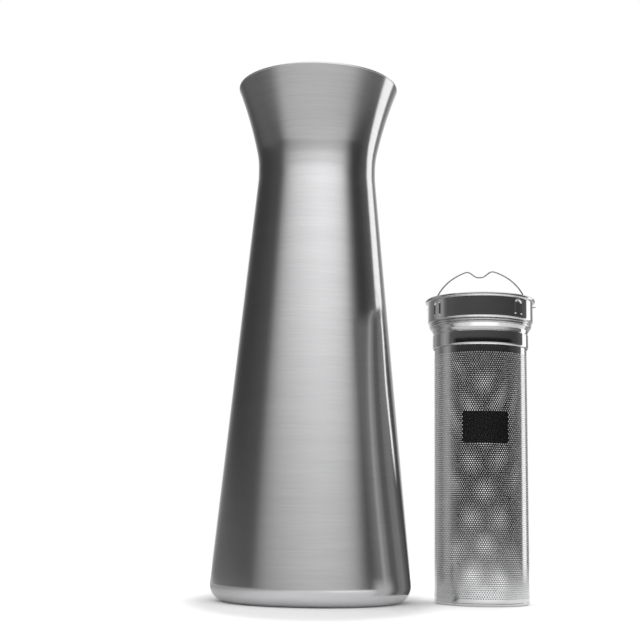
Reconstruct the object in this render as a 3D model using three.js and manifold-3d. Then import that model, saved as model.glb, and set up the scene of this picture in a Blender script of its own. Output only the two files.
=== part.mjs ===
// Thermal carafe: a double-walled steel carafe with a flared mouth and a press-in stopper,
// and the tea infuser that fits its neck, standing beside it with its bail up.
// Millimetres, +Z up. The origin is the centre of the carafe's foot, on the table.

import * as THREE from 'three';
import { mergeVertices } from 'three/addons/utils/BufferGeometryUtils.js';
import Module from 'manifold-3d';

const wasm = await Module();
wasm.setup();

// Fits shared by neighbouring pieces
const fitGap = 0.3;
const cutOverrun = 2;

// Carafe body, outside
const carafeHeight = 292;
const baseRadius = 55;
const baseCorner = 9;
const waistDrop = 48.9; // from the mouth down to the narrowest ring
const waistBend = 50;
const waistExit = THREE.MathUtils.degToRad(12);
const mouthRadius = 45.9;

// Carafe body, walls
const boreRadius = 27.6; // the clear bore at the narrowest ring
const shellWall = 0.8;
const flaskWall = 0.8;
const vacuumGap = 4.4;
const lipHeight = 0.9;
const lipEdge = 0.35;
const flaskCorner = 10;
const flaskExit = THREE.MathUtils.degToRad(16);
const floorGap = 8; // between the base plate and the flask

// Underside of the carafe
const footWidth = 3;
const plateWall = 0.8;
const recessDepth = 2.4;
const recessDraft = 0.8;
const padEdge = 0.5;
const sealHole = 2;
const sealHead = 3.4;
const sealHeadHeight = 1.2;
const getterRadius = 5;
const getterHeight = 2.6;
const getterOffset = 16;

// Stopper, seated in the neck
const plugDepth = 9; // below the narrowest ring
const plugWall = 2.2;
const plugGap = 0.8;
const plugChamfer = 1.6;
const shoulderRise = 13; // from the narrowest ring to where the shoulder opens out
const shoulderHeight = 6;
const flangeHeight = 3;
const sealHeight = 4;
const sealSeat = 1.6; // depth of the groove that holds the seal
const sealRib = 0.5;
const lidWall = 0.8;
const lidSkirt = 2.4;
const lidCrown = 1.2;
const knobRadius = 11;
const knobHeight = 16;
const knobNeck = 6.5;
const knobEdge = 1.6;
const studRadius = 2.5;
const nutAcross = 8;
const nutSides = 6;
const nutHeight = 3.2;

// Infuser, standing beside the carafe
const infuserX = 94.2;
const infuserY = 2.7;
const infuserTurn = THREE.MathUtils.degToRad(-11.5);
const sleeveGap = 0.7; // between the sleeve and the carafe's bore
const collarWall = 0.7;
const sleeveHeight = 8.3;
const sleeveLip = 0.4; // how far the sleeve's foot curls in
const neckDepth = 0.3; // how far the neck above the sleeve draws in
const neckBend = 2;
const neckRise = 2; // from the sleeve to the neck
const beadHeight = 1.8;
const beadEdge = 0.3;
const drumStep = 2.7; // how far the drum stands out from the sleeve
const drumBend = 1.6;
const drumHeight = 13;
const rimBead = 1;
const rimReach = 1.4; // how far the rolled rim stands out from the drum
const rimCurl = THREE.MathUtils.degToRad(157); // where the rolled edge ends, inside the rim
const tubeWall = 0.5;
const tubeLength = 144.3;
const tubeLap = 5.8; // how far the tube runs up into the sleeve
const footBead = 1.7;
const footInset = 3.4;
const footRise = 2.6;
const footSkirt = 4.3;
const footWall = 0.6;

// Openings of the tube, with a plain patch in front
const openingFoot = 3.7;
const openingTop = 136.7;
const openingRows = 8;
const openingShare = 0.55; // height of an opening as a share of its row
const patchFoot = 88.2;
const patchTop = 105.4;
const patchAngle = THREE.MathUtils.degToRad(10.4);
const patchHalfAngle = THREE.MathUtils.degToRad(28.2);

// Pressed lugs round the drum
const lugWidth = 5.4;
const lugHeight = 8.3;
const lugRib = 0.9;
const lugProud = 0.8;
const lugTop = 0.8; // from the crown of a lug to the foot of the rolled rim
const lugAngle = THREE.MathUtils.degToRad(49);

// Bail
const wireRadius = 0.4;
const wireGap = 0.35;
const pivotDrop = 4.3; // from the top of the rim to the pivot
const stubLength = 1.7;
const shortStub = 0.4; // the other end is cut nearly flush
const bailArc = 27.4;
const bailArcDrop = 5.2;
const armLean = THREE.MathUtils.degToRad(25);
const bailArcSteps = 4;
const crestSpread = 14.8;
const crestTurn = 1.5; // from a crest to where the wire turns down
const turnDrop = 0.3;
const valleyDepth = 3.2;
const valleyFloor = 4.2;

// Facets
const roundFacets = 36;
const smallFacets = 20;
const arcSteps = 3;
const cornerSteps = 4;
const bendSteps = 2;
const wireSides = 6;
const wireSteps = 64;

const steel = { color: 0xa9aaac, roughness: 0.32, metalness: 1 };
const polishedSteel = { color: 0xb9babc, roughness: 0.15, metalness: 1 };
const blackPlastic = { color: 0x26282a, roughness: 0.5, metalness: 0 };
const greySilicone = { color: 0x4a4d50, roughness: 0.7, metalness: 0 };
const sealGlass = { color: 0x33423a, roughness: 0.2, metalness: 0 };
const getterNickel = { color: 0x8d8c88, roughness: 0.4, metalness: 1 };

function mesh(name, geometry, look) {
  const piece = new THREE.Mesh(geometry, new THREE.MeshStandardMaterial(look));
  piece.name = name;
  return piece;
}

// A profile is a list of [radius, height] points, anticlockwise, so its outside faces out.
function revolve(profile, facets = roundFacets) {
  const onAxis = profile[0][0] === 0;
  const outline = onAxis ? profile : [...profile, profile[0]];
  const points = outline.map(([r, z]) => new THREE.Vector2(r, z));
  return new THREE.LatheGeometry(points, facets).rotateX(Math.PI / 2);
}

// Points on an arc about a centre, from one angle to another, both ends included.
function arc([r, z], radius, from, to, steps = arcSteps) {
  const points = [];
  for (let i = 0; i <= steps; i += 1) {
    const angle = from + ((to - from) * i) / steps;
    points.push([r + radius * Math.cos(angle), z + radius * Math.sin(angle)]);
  }
  return points;
}

function toSolid(geometry) {
  const bare = geometry.index ? geometry.toNonIndexed() : geometry.clone();
  bare.deleteAttribute('normal');
  bare.deleteAttribute('uv');
  const merged = mergeVertices(bare);
  return new wasm.Manifold(new wasm.Mesh({
    numProp: 3,
    vertProperties: merged.attributes.position.array,
    triVerts: new Uint32Array(merged.index.array),
  }));
}

function toGeometry(solid) {
  const { vertProperties, triVerts } = solid.getMesh();
  const geometry = new THREE.BufferGeometry();
  geometry.setAttribute('position', new THREE.BufferAttribute(vertProperties, 3));
  geometry.setIndex(new THREE.BufferAttribute(triVerts, 1));
  return geometry;
}

// Walls of the carafe
//
// Every wall follows one meridian: a corner arc off the floor, a straight taper tangent to it, the
// arc of the waist, and a flare to the mouth. The taper is the line that touches both arcs.
const wallDepth = shellWall + vacuumGap + flaskWall;
const waistRadius = boreRadius + wallDepth;
const waistHeight = carafeHeight - waistDrop;
const cornerCentre = new THREE.Vector2(baseRadius - baseCorner, baseCorner);
const waistCentre = new THREE.Vector2(waistRadius + waistBend, waistHeight);
const centreLine = waistCentre.clone().sub(cornerCentre);
const taper = centreLine.angle() - Math.acos((baseCorner + waistBend) / centreLine.length());
const sideNormal = new THREE.Vector2(Math.cos(taper), Math.sin(taper));
const sideReach = cornerCentre.dot(sideNormal) + baseCorner;

// An arc that leaves a point at one lean from the vertical and ends at another point.
function flareTo([r0, z0], lean, [r1, z1]) {
  const endLean = 2 * Math.atan2(r1 - r0, z1 - z0) - lean;
  const bend = (z1 - z0) / (Math.sin(endLean) - Math.sin(lean));
  const centre = [r0 + bend * Math.cos(lean), z0 - bend * Math.sin(lean)];
  const points = arc(centre, bend, Math.PI - lean, Math.PI - endLean);
  return { points, endLean };
}

function wallCurve({ inset, floor, corner, exit, mouth, top }) {
  const centreZ = floor + corner;
  const centreR = (sideReach - inset - corner - centreZ * sideNormal.y) / sideNormal.x;
  const bottom = [
    ...arc([centreR, centreZ], corner, -Math.PI / 2, 0, cornerSteps),
    ...arc([centreR, centreZ], corner, 0, taper, 1).slice(1),
  ];
  const bend = waistBend + inset;
  const waist = arc(waistCentre.toArray(), bend, Math.PI + taper, Math.PI - exit);
  const flare = flareTo(waist.at(-1), exit, [mouth, top]);
  return { points: [...bottom, ...waist, ...flare.points.slice(1)], lean: flare.endLean };
}

function radiusAt(points, z) {
  const next = points.findIndex(([, height]) => height >= z);
  const [r1, z1] = points[next];
  const [r0, z0] = points[Math.max(next - 1, 0)];
  return z1 === z0 ? r1 : r0 + ((r1 - r0) * (z - z0)) / (z1 - z0);
}

const lipFoot = carafeHeight - lipHeight;
const shellOutside = wallCurve({
  inset: 0, floor: 0, corner: baseCorner, exit: waistExit, mouth: mouthRadius, top: lipFoot,
});
const mouthSlant = 1 / Math.cos(shellOutside.lean);
const shellMouth = mouthRadius - shellWall * mouthSlant;
const shellInside = wallCurve({
  inset: shellWall, floor: shellWall, corner: baseCorner - shellWall, exit: waistExit,
  mouth: shellMouth, top: lipFoot,
});

const footInner = baseRadius - baseCorner - footWidth;
const outerShell = mesh('outer_shell', revolve([
  [footInner, 0],
  ...shellOutside.points,
  ...shellInside.points.toReversed(),
  [footInner, shellWall],
]), steel);

// Base plate: a pressed dish whose flange lies on the shell's foot, with the pumping hole in it
const plateTop = recessDepth + plateWall;
const flangeOuter = footInner + footWidth - fitGap;
const dishRadius = footInner - recessDraft;
const outerBase = mesh('outer_base', revolve([
  [sealHole, recessDepth],
  [dishRadius - recessDraft, recessDepth],
  [dishRadius, shellWall],
  [flangeOuter, shellWall],
  [flangeOuter, shellWall + plateWall],
  [dishRadius + plateWall, shellWall + plateWall],
  [dishRadius + plateWall - recessDraft, plateTop],
  [sealHole, plateTop],
]), steel);

const padRadius = dishRadius - recessDraft - fitGap;
const basePad = mesh('base_pad', revolve([
  [0, 0],
  [padRadius - padEdge, 0],
  [padRadius, padEdge],
  [padRadius, recessDepth],
  [0, recessDepth],
]), greySilicone);

const sealStem = sealHole - fitGap;
const sealDome = (sealHead ** 2 + sealHeadHeight ** 2) / (2 * sealHeadHeight);
const sealBead = mesh('seal_bead', revolve([
  [0, recessDepth + fitGap],
  [sealStem, recessDepth + fitGap],
  [sealStem, plateTop],
  [sealHead, plateTop],
  ...arc([0, plateTop + sealHeadHeight - sealDome], sealDome, Math.acos(sealHead / sealDome), Math.PI / 2)
    .slice(1, -1),
  [0, plateTop + sealHeadHeight],
], smallFacets), sealGlass);

// Inner flask: the liner, open at the mouth, whose lip closes over the shell's edge
const flaskFoot = plateTop + floorGap;
const flaskFloor = flaskFoot + flaskWall;
const flaskOutside = wallCurve({
  inset: shellWall + vacuumGap, floor: flaskFoot, corner: flaskCorner, exit: flaskExit,
  mouth: shellMouth - fitGap * mouthSlant, top: lipFoot,
});
const flaskMouth = shellMouth - (fitGap + flaskWall) * mouthSlant;
const flaskInside = wallCurve({
  inset: wallDepth, floor: flaskFloor, corner: flaskCorner - flaskWall, exit: flaskExit,
  mouth: flaskMouth, top: lipFoot,
});
const innerFlask = mesh('inner_flask', revolve([
  [0, flaskFoot],
  ...flaskOutside.points,
  [mouthRadius, lipFoot],
  [mouthRadius, carafeHeight - lipEdge],
  [mouthRadius - lipEdge, carafeHeight],
  [flaskMouth + lipEdge, carafeHeight],
  ...flaskInside.points.toReversed(),
  [0, flaskFloor],
]), steel);

const getterCapsule = mesh('getter_capsule', revolve([
  [0, -getterHeight],
  [getterRadius - padEdge, -getterHeight],
  [getterRadius, padEdge - getterHeight],
  [getterRadius, 0],
  [0, 0],
], smallFacets), getterNickel);
getterCapsule.position.set(getterOffset, 0, flaskFoot);

// Stopper: a hollow plug with a ribbed seal, a pressed lid over its flange, and a turned knob
const plugRadius = boreRadius - plugGap;
const plugFoot = waistHeight - plugDepth;
const sealFoot = waistHeight - sealHeight / 2;
const sealTop = waistHeight + sealHeight / 2;
const grooveRadius = plugRadius - sealSeat;
const shoulderFoot = waistHeight + shoulderRise;
const flangeFoot = shoulderFoot + shoulderHeight;
const flangeTop = flangeFoot + flangeHeight;
const skirtFoot = flangeTop - lidSkirt;
const skirtOuter = radiusAt(flaskInside.points, skirtFoot) - fitGap; // it rests on the flare
const skirtInner = skirtOuter - lidWall;
const flangeRadius = skirtInner - fitGap;
const plugInner = grooveRadius - plugWall;
const stopperBody = mesh('stopper_body', revolve([
  [0, plugFoot],
  [plugRadius - plugChamfer, plugFoot],
  [plugRadius, plugFoot + plugChamfer],
  [plugRadius, sealFoot - fitGap],
  [grooveRadius, sealFoot - fitGap],
  [grooveRadius, sealTop + fitGap],
  [plugRadius, sealTop + fitGap],
  [plugRadius, shoulderFoot],
  [flangeRadius, flangeFoot],
  [flangeRadius, flangeTop],
  [plugInner, flangeTop],
  [plugInner, plugFoot + plugWall],
  [0, plugFoot + plugWall],
]), blackPlastic);

const sealInner = grooveRadius + fitGap;
const ribRadius = boreRadius - fitGap;
const ribFoot = ribRadius - sealRib;
const stopperSeal = mesh('stopper_seal', revolve([
  [sealInner, sealFoot],
  [ribFoot, sealFoot],
  [ribRadius, sealFoot + sealHeight / 4],
  [ribFoot, waistHeight],
  [ribRadius, sealTop - sealHeight / 4],
  [ribFoot, sealTop],
  [sealInner, sealTop],
]), greySilicone);

const studHole = studRadius + fitGap;
const crownRadius = knobRadius + lidCrown;
const stopperLid = mesh('stopper_lid', revolve([
  [studHole, flangeTop],
  [skirtInner, flangeTop],
  [skirtInner, skirtFoot],
  [skirtOuter, skirtFoot],
  [skirtOuter, flangeTop],
  [skirtOuter - lidWall / 2, flangeTop + lidWall],
  [crownRadius + lidCrown, flangeTop + lidWall],
  [crownRadius, flangeTop + lidWall + lidCrown],
  [studHole, flangeTop + lidWall + lidCrown],
]), steel);

const knobFoot = flangeTop + lidWall + lidCrown;
const knobTop = knobFoot + knobHeight;
const nutTop = flangeTop;
const studFoot = nutTop - nutHeight;
const stopperKnob = mesh('stopper_knob', revolve([
  [0, studFoot],
  [studRadius, studFoot],
  [studRadius, knobFoot],
  [knobNeck + knobEdge, knobFoot],
  [knobNeck, knobFoot + knobEdge],
  [knobNeck, knobFoot + knobHeight / 2 - knobEdge],
  [knobRadius, knobFoot + knobHeight / 2 + knobEdge],
  ...arc([knobRadius - knobEdge, knobTop - knobEdge], knobEdge, 0, Math.PI / 2, bendSteps),
  [0, knobTop],
], smallFacets), polishedSteel);

function hexNut(across, bore, height) {
  const corner = across / 2 / Math.cos(Math.PI / nutSides);
  const corners = [];
  for (let side = 0; side < nutSides; side += 1) {
    const angle = (2 * Math.PI * side) / nutSides;
    corners.push(new THREE.Vector2(corner * Math.cos(angle), corner * Math.sin(angle)));
  }
  const outline = new THREE.Shape(corners);
  outline.holes.push(new THREE.Path().absarc(0, 0, bore, 0, 2 * Math.PI, true));
  return new THREE.ExtrudeGeometry(outline, {
    depth: height, bevelEnabled: false, curveSegments: smallFacets / 2,
  });
}

const stopperNut = mesh('stopper_nut', hexNut(nutAcross, studHole, nutHeight), steel);
stopperNut.position.z = nutTop - nutHeight;

const stopper = new THREE.Group();
stopper.add(stopperBody, stopperSeal, stopperLid, stopperKnob, stopperNut);

// Infuser, in its own frame: z = 0 is the table and X is the bail's pivot axis
const sleeveRadius = boreRadius - sleeveGap;
const tubeRadius = sleeveRadius - collarWall - fitGap;
const tubeInner = tubeRadius - tubeWall;
const drumRadius = sleeveRadius + drumStep;
const drumInner = drumRadius - collarWall;
const rimRadius = drumRadius + rimReach;
const tubeTop = footBead + tubeLength;
const sleeveFoot = tubeTop - tubeLap;
const sleeveTop = sleeveFoot + sleeveHeight;
const neckTop = sleeveTop + neckRise;
const beadFoot = neckTop + neckBend;
const beadTop = beadFoot + beadHeight;
const drumFoot = beadTop + beadEdge;
const rimTop = drumFoot + drumHeight + rimBead;
const rimCentre = [rimRadius - rimBead, rimTop - rimBead];
const rimStart = -Math.acos((drumRadius - rimCentre[0]) / rimBead);
const rimFoot = rimCentre[1] + rimBead * Math.sin(rimStart);

// The collar is one pressing: the sleeve, a neck drawn in under a bead, the drum, the rolled rim.
const sleeveInner = sleeveRadius - collarWall;
const neckCentre = [sleeveRadius - neckDepth + neckBend, neckTop];
const beadRadius = drumRadius - collarWall;
const drumBendCentre = [drumRadius - drumBend, drumFoot + drumBend];
const beadInner = drumBendCentre[0] - collarWall;
const neckInnerStart = Math.acos((beadInner - neckCentre[0]) / (neckBend + collarWall));
const collarBody = revolve([
  [sleeveInner, sleeveFoot],
  [sleeveRadius - sleeveLip, sleeveFoot],
  [sleeveRadius, sleeveFoot + 2 * sleeveLip],
  [sleeveRadius, sleeveTop],
  ...arc(neckCentre, neckBend, Math.PI, Math.PI / 2, bendSteps),
  [beadRadius, beadFoot + beadEdge],
  [beadRadius, beadTop - beadEdge],
  [beadRadius - beadEdge, beadTop],
  ...arc(drumBendCentre, drumBend, -Math.PI / 2, 0, bendSteps),
  ...arc(rimCentre, rimBead, rimStart, rimCurl, 2 * arcSteps),
  [drumInner, rimFoot],
  ...arc(drumBendCentre, drumBend - collarWall, 0, -Math.PI / 2, bendSteps),
  [beadInner, drumFoot + collarWall],
  ...arc(neckCentre, neckBend + collarWall, neckInnerStart, Math.PI, bendSteps),
  [sleeveInner, sleeveTop],
]);

// A lug is a low rib in the shape of an arch, open at its foot, pressed out of the drum's wall.
const lugFoot = rimFoot - lugTop - lugHeight;

function archRib(width, height, rib) {
  const half = width / 2;
  const inner = half - rib;
  const outline = new THREE.Shape();
  outline.moveTo(-half, 0);
  outline.lineTo(-inner, 0);
  outline.lineTo(-inner, height - half);
  outline.absarc(0, height - half, inner, Math.PI, 0, true);
  outline.lineTo(inner, 0);
  outline.lineTo(half, 0);
  outline.lineTo(half, height - half);
  outline.absarc(0, height - half, half, 0, Math.PI, false);
  outline.closePath();
  return outline;
}

function lug(angle) {
  const depth = lugProud + collarWall;
  const rib = new THREE.ExtrudeGeometry(archRib(lugWidth, lugHeight, lugRib), {
    depth, bevelEnabled: false, curveSegments: arcSteps,
  });
  return rib.rotateX(Math.PI / 2).translate(0, depth - drumRadius - lugProud, lugFoot).rotateZ(angle);
}

const pivotHeight = rimTop - pivotDrop;
const pivotBore = new THREE.CylinderGeometry(
  wireRadius + wireGap, wireRadius + wireGap, 2 * rimRadius + cutOverrun, wireSides,
).rotateZ(Math.PI / 2).translate(0, 0, pivotHeight);

const lugAngles = [lugAngle, -lugAngle, Math.PI - lugAngle, Math.PI + lugAngle];
let collarSolid = toSolid(collarBody);
for (const angle of lugAngles) {
  collarSolid = collarSolid.add(toSolid(lug(angle)));
}
const infuserCollar = mesh(
  'infuser_collar', toGeometry(collarSolid.subtract(toSolid(pivotBore))), polishedSteel,
);

// The tube is sheet with openings: a grid of cells, one facet wide, of which some are open. Every
// closed cell gets an outer and an inner face, and an edge wherever it borders an open cell.
function openworkTube(outer, inner, heights, isOpen) {
  const positions = [];
  for (const radius of [outer, inner]) {
    for (const z of heights) {
      for (let side = 0; side < roundFacets; side += 1) {
        const angle = (2 * Math.PI * side) / roundFacets;
        positions.push(radius * Math.cos(angle), radius * Math.sin(angle), z);
      }
    }
  }
  const index = [];
  const outside = (level, side) => level * roundFacets + (side % roundFacets);
  const inside = (level, side) => outside(level, side) + heights.length * roundFacets;
  const face = (a, b, c, d) => index.push(a, b, c, a, c, d);
  const isClosed = (row, side) => (
    row >= 0 && row < heights.length - 1 && !isOpen(row, (side + roundFacets) % roundFacets)
  );
  for (let row = 0; row < heights.length - 1; row += 1) {
    for (let side = 0; side < roundFacets; side += 1) {
      if (!isClosed(row, side)) continue;
      const corners = [[row, side], [row, side + 1], [row + 1, side + 1], [row + 1, side]];
      const neighbours = [[row - 1, side], [row, side + 1], [row + 1, side], [row, side - 1]];
      face(...corners.map((corner) => outside(...corner)));
      face(...corners.toReversed().map((corner) => inside(...corner)));
      for (const [edge, neighbour] of neighbours.entries()) {
        const start = corners[edge];
        const end = corners[(edge + 1) % corners.length];
        if (isClosed(...neighbour)) continue;
        face(outside(...end), outside(...start), inside(...start), inside(...end));
      }
    }
  }
  const geometry = new THREE.BufferGeometry();
  geometry.setAttribute('position', new THREE.Float32BufferAttribute(positions, 3));
  geometry.setIndex(index);
  return geometry;
}

const rowPitch = (openingTop - openingFoot) / openingRows;
const openingMargin = (rowPitch * (1 - openingShare)) / 2;
const tubeHeights = [footBead];
for (let row = 0; row < openingRows; row += 1) {
  const rowFoot = openingFoot + row * rowPitch;
  tubeHeights.push(rowFoot + openingMargin, rowFoot + rowPitch - openingMargin);
}
tubeHeights.push(tubeTop);

// Openings take every other cell both ways, but none lies in the plain patch.
function isOpening(row, side) {
  if (row % 2 === 0 || side % 2 === 0) return false;
  const height = (tubeHeights[row] + tubeHeights[row + 1]) / 2;
  const angle = (2 * Math.PI * (side + 0.5)) / roundFacets - (3 * Math.PI) / 2 - patchAngle;
  const inPatchHeight = height > patchFoot && height < patchTop;
  return !(inPatchHeight && Math.abs(Math.atan2(Math.sin(angle), Math.cos(angle))) < patchHalfAngle);
}

const infuserTube = mesh(
  'infuser_tube', openworkTube(tubeRadius, tubeInner, tubeHeights, isOpening), steel,
);

const skirtRadius = tubeInner - fitGap;
const footOuter = tubeRadius - footInset;
const infuserBase = mesh('infuser_base', revolve([
  [0, footRise],
  [footOuter - footRise, footRise - footWall],
  [footOuter, 0],
  [tubeRadius - footWall, 0],
  [tubeRadius, footWall],
  [tubeRadius, footBead],
  [skirtRadius, footBead],
  [skirtRadius, footBead + footSkirt],
  [skirtRadius - footWall, footBead + footSkirt],
  [skirtRadius - footWall, footBead],
  [footOuter + footWall, footWall],
  [footOuter - footRise + footWall, footRise],
  [0, footRise + footWall],
]), steel);

// The bail is one wire: a stub through the drum's wall, an arm, a round arc, and a crest on each
// side of a flat dip. The far stub is cut short.
function bailPath() {
  const elbow = (bailArc - bailArcDrop * Math.sin(armLean)) / Math.cos(armLean);
  const crestAngle = Math.acos(crestSpread / 2 / bailArc);
  const arm = [
    [elbow + 2 * wireRadius, 0],
    [elbow - wireRadius, 2 * wireRadius],
    ...arc([0, -bailArcDrop], bailArc, armLean, crestAngle, bailArcSteps),
  ];
  const [crestX, crestZ] = arm.at(-1);
  arm.push([crestX - crestTurn, crestZ - turnDrop]);
  arm.push([valleyFloor / 2, crestZ - valleyDepth + turnDrop]);
  const mirrored = arm.map(([x, z]) => [-x, z]).toReversed();
  const points = [
    [drumRadius + stubLength, 0],
    ...arm,
    [0, crestZ - valleyDepth],
    ...mirrored,
    [-drumRadius - shortStub, 0],
  ].map(([x, z]) => new THREE.Vector3(x, 0, z));
  return new THREE.CatmullRomCurve3(points, false, 'centripetal');
}

function wireSection() {
  const section = new THREE.Shape();
  section.absarc(0, 0, wireRadius, 0, 2 * Math.PI, false);
  return section;
}

const infuserBail = mesh('infuser_bail', new THREE.ExtrudeGeometry(wireSection(), {
  extrudePath: bailPath(), steps: wireSteps, curveSegments: wireSides / 2, bevelEnabled: false,
}), polishedSteel);
infuserBail.position.z = pivotHeight;

const infuser = new THREE.Group();
infuser.position.set(infuserX, infuserY, 0);
infuser.rotation.z = infuserTurn;
infuser.add(infuserCollar, infuserTube, infuserBase, infuserBail);

const carafe = new THREE.Group();
carafe.add(outerShell, outerBase, basePad, sealBead, innerFlask, getterCapsule);

const model = new THREE.Group();
model.add(carafe, stopper, infuser);

export default model;
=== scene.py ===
# %% [markdown]
# # A steel carafe and its tea infuser
# The object is a double-walled carafe in brushed steel with a stopper pressed into its neck, and a
# perforated tea infuser that stands beside it with its wire bail up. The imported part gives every
# size and place. This script keeps that frame and dresses each piece in a smooth, finely made mesh
# with a metal that behaves like the real one.

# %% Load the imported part
import math

import bpy
import numpy as np
from mathutils import Matrix, Vector


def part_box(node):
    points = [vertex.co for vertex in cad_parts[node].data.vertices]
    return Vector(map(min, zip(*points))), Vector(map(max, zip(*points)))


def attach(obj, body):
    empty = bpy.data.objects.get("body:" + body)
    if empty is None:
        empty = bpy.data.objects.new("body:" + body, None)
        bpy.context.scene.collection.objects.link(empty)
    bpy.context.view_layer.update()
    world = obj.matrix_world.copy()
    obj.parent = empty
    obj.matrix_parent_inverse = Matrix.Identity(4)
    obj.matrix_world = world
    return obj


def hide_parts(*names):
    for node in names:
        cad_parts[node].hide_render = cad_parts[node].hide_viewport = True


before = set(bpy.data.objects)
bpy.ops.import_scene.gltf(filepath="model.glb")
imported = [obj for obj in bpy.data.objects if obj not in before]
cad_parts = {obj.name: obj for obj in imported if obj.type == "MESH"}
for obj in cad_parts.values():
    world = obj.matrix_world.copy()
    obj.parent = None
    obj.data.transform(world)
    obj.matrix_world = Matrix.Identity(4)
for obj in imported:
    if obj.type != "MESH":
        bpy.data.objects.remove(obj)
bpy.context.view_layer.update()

# %% [markdown]
# ## Units and the shared sizes
# The part is drawn in millimetres and Blender works in metres, so profiles are written in
# millimetres and scaled once, when a mesh is made. The sizes below are the part's own.

# %% Units and shared sizes
MM = 0.001
FIT_GAP = 0.3

CARAFE_HEIGHT = 292
BASE_RADIUS = 55
BASE_CORNER = 9
WAIST_DROP = 48.9
WAIST_BEND = 50
WAIST_EXIT = math.radians(12)
MOUTH_RADIUS = 45.9
BORE_RADIUS = 27.6
SHELL_WALL = 0.8
FLASK_WALL = 0.8
VACUUM_GAP = 4.4
LIP_HEIGHT = 0.9
FLASK_CORNER = 10
FLASK_EXIT = math.radians(16)
FLOOR_GAP = 8
FOOT_WIDTH = 3
PLATE_WALL = 0.8
RECESS_DEPTH = 2.4
RECESS_DRAFT = 0.8

INFUSER_X, INFUSER_Y = 94.2, 2.7
INFUSER_TURN = math.radians(-11.5)
infuser_place = (Matrix.Translation((INFUSER_X * MM, INFUSER_Y * MM, 0))
                 @ Matrix.Rotation(INFUSER_TURN, 4, "Z"))
print("infuser stands", round(math.hypot(INFUSER_X, INFUSER_Y), 1), "mm from the carafe's axis")

# %% [markdown]
# ## The camera
# The carafe was seen from a low place, a little above the table, with the camera tipped up. Nothing
# in the scene tells Blender that, so the camera is built from its three directions: right, up and
# the way it looks. A camera looks along its own -Z, which is why the last column is turned round.

# %% Camera
CAMERA_PLACE = Vector((3.04, -673.4, 46.4)) * MM
CAMERA_PITCH = math.radians(9.234)
CAMERA_ROLL = math.radians(0.857)
CAMERA_LENS = 67.63

forward = Vector((0, math.cos(CAMERA_PITCH), math.sin(CAMERA_PITCH)))
level = Vector((1, 0, 0))
upright = level.cross(forward)
right = level * math.cos(CAMERA_ROLL) + upright * math.sin(CAMERA_ROLL)
up = upright * math.cos(CAMERA_ROLL) - level * math.sin(CAMERA_ROLL)

camera_data = bpy.data.cameras.new("camera")
camera_data.lens = CAMERA_LENS
camera_data.sensor_width = 36
camera_data.clip_start = 0.01
camera = bpy.data.objects.new("camera", camera_data)
bpy.context.scene.collection.objects.link(camera)
camera.matrix_world = Matrix.Translation(CAMERA_PLACE) @ Matrix((right, up, -forward)).transposed().to_4x4()
bpy.context.scene.camera = camera
bpy.context.scene.view_settings.view_transform = "Standard"
print("camera looks up by", round(math.degrees(CAMERA_PITCH), 1), "degrees")

# %% [markdown]
# ## A small toolbox for node trees
# Every material here is a tree of nodes. A few short helpers keep that readable. One adds a node
# and fills its inputs. Another gives one of its outputs as a Value, which knows its tree and can be
# added and multiplied like a number: each sum adds its own Math node. The others make a ramp from a
# table, a soft step, a blend of two values, and the angle and height of a place round an axis.

# %% Adding nodes
def add_node(tree, kind, values=None, **settings):
    """Adds a node. values fills its inputs, with constants or with outputs of other nodes."""
    node = tree.nodes.new(kind)
    for name, value in settings.items():
        setattr(node, name, value)
    for socket, value in (values or {}).items():
        if isinstance(value, Value):
            tree.links.new(value.socket, node.inputs[socket])
        else:
            node.inputs[socket].default_value = value
    return node


def output(tree, kind, values=None, take=0, **settings):
    """Adds a node and gives one of its outputs."""
    return Value(tree, add_node(tree, kind, values, **settings).outputs[take])


def all_outputs(tree, node):
    return {socket.name: Value(tree, socket) for socket in node.outputs}


def math_node(tree, operation, *inputs, **settings):
    return output(tree, "ShaderNodeMath", dict(enumerate(inputs)), operation=operation, **settings)


class Value:
    """An output of a node. Numbers can be used in sums, which add Math nodes."""

    def __init__(self, tree, socket):
        self.tree, self.socket = tree, socket


def operator(operation, turned=False):
    def apply(self, *others):
        return math_node(self.tree, operation, *((*others, self) if turned else (self, *others)))
    return apply


OPERATORS = {"add": "ADD", "sub": "SUBTRACT", "mul": "MULTIPLY", "truediv": "DIVIDE", "pow": "POWER",
             "abs": "ABSOLUTE"}
for sign, operation in OPERATORS.items():
    setattr(Value, f"__{sign}__", operator(operation))
for sign in ("sub", "truediv"):  # with a plain number on the left
    setattr(Value, f"__r{sign}__", operator(OPERATORS[sign], turned=True))
print("a Value can be used with + - * / ** and abs()")

# %% Ramps, steps and places
def ramp_node(factor, stops, interpolation="LINEAR"):
    """A colour ramp. Each stop is (position from 0 to 1, grey value or colour)."""
    node = add_node(factor.tree, "ShaderNodeValToRGB", {"Fac": factor})
    ramp = node.color_ramp
    ramp.interpolation = interpolation
    while len(ramp.elements) < len(stops):
        ramp.elements.new(0.5)
    for element, (position, value) in zip(ramp.elements, stops):
        element.position = position
        grey = not hasattr(value, "__len__")
        element.color = (value, value, value, 1) if grey else (*value, 1)
    return Value(factor.tree, node.outputs["Color"])


def table_ramp(factor, table, start, end, interpolation="B_SPLINE"):
    """A ramp from a table of (place, brightness), whose places run from start to end."""
    stops = [((place - start) / (end - start), light) for place, light in table]
    return ramp_node(factor, stops, interpolation)


def smooth_step(value, start, end):
    """0 up to start, 1 from end on, and a soft slope between. It falls if end is below start."""
    limits = {"Value": value, "From Min": start, "From Max": end}
    return output(value.tree, "ShaderNodeMapRange", limits, "Result", interpolation_type="SMOOTHSTEP")


def mix_grey(factor, a, b):
    return output(factor.tree, "ShaderNodeMix", {0: factor, 2: a, 3: b}, data_type="FLOAT")


def vector_math(tree, operation, *inputs, take=0):
    return output(tree, "ShaderNodeVectorMath", dict(enumerate(inputs)), take, operation=operation)


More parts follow.
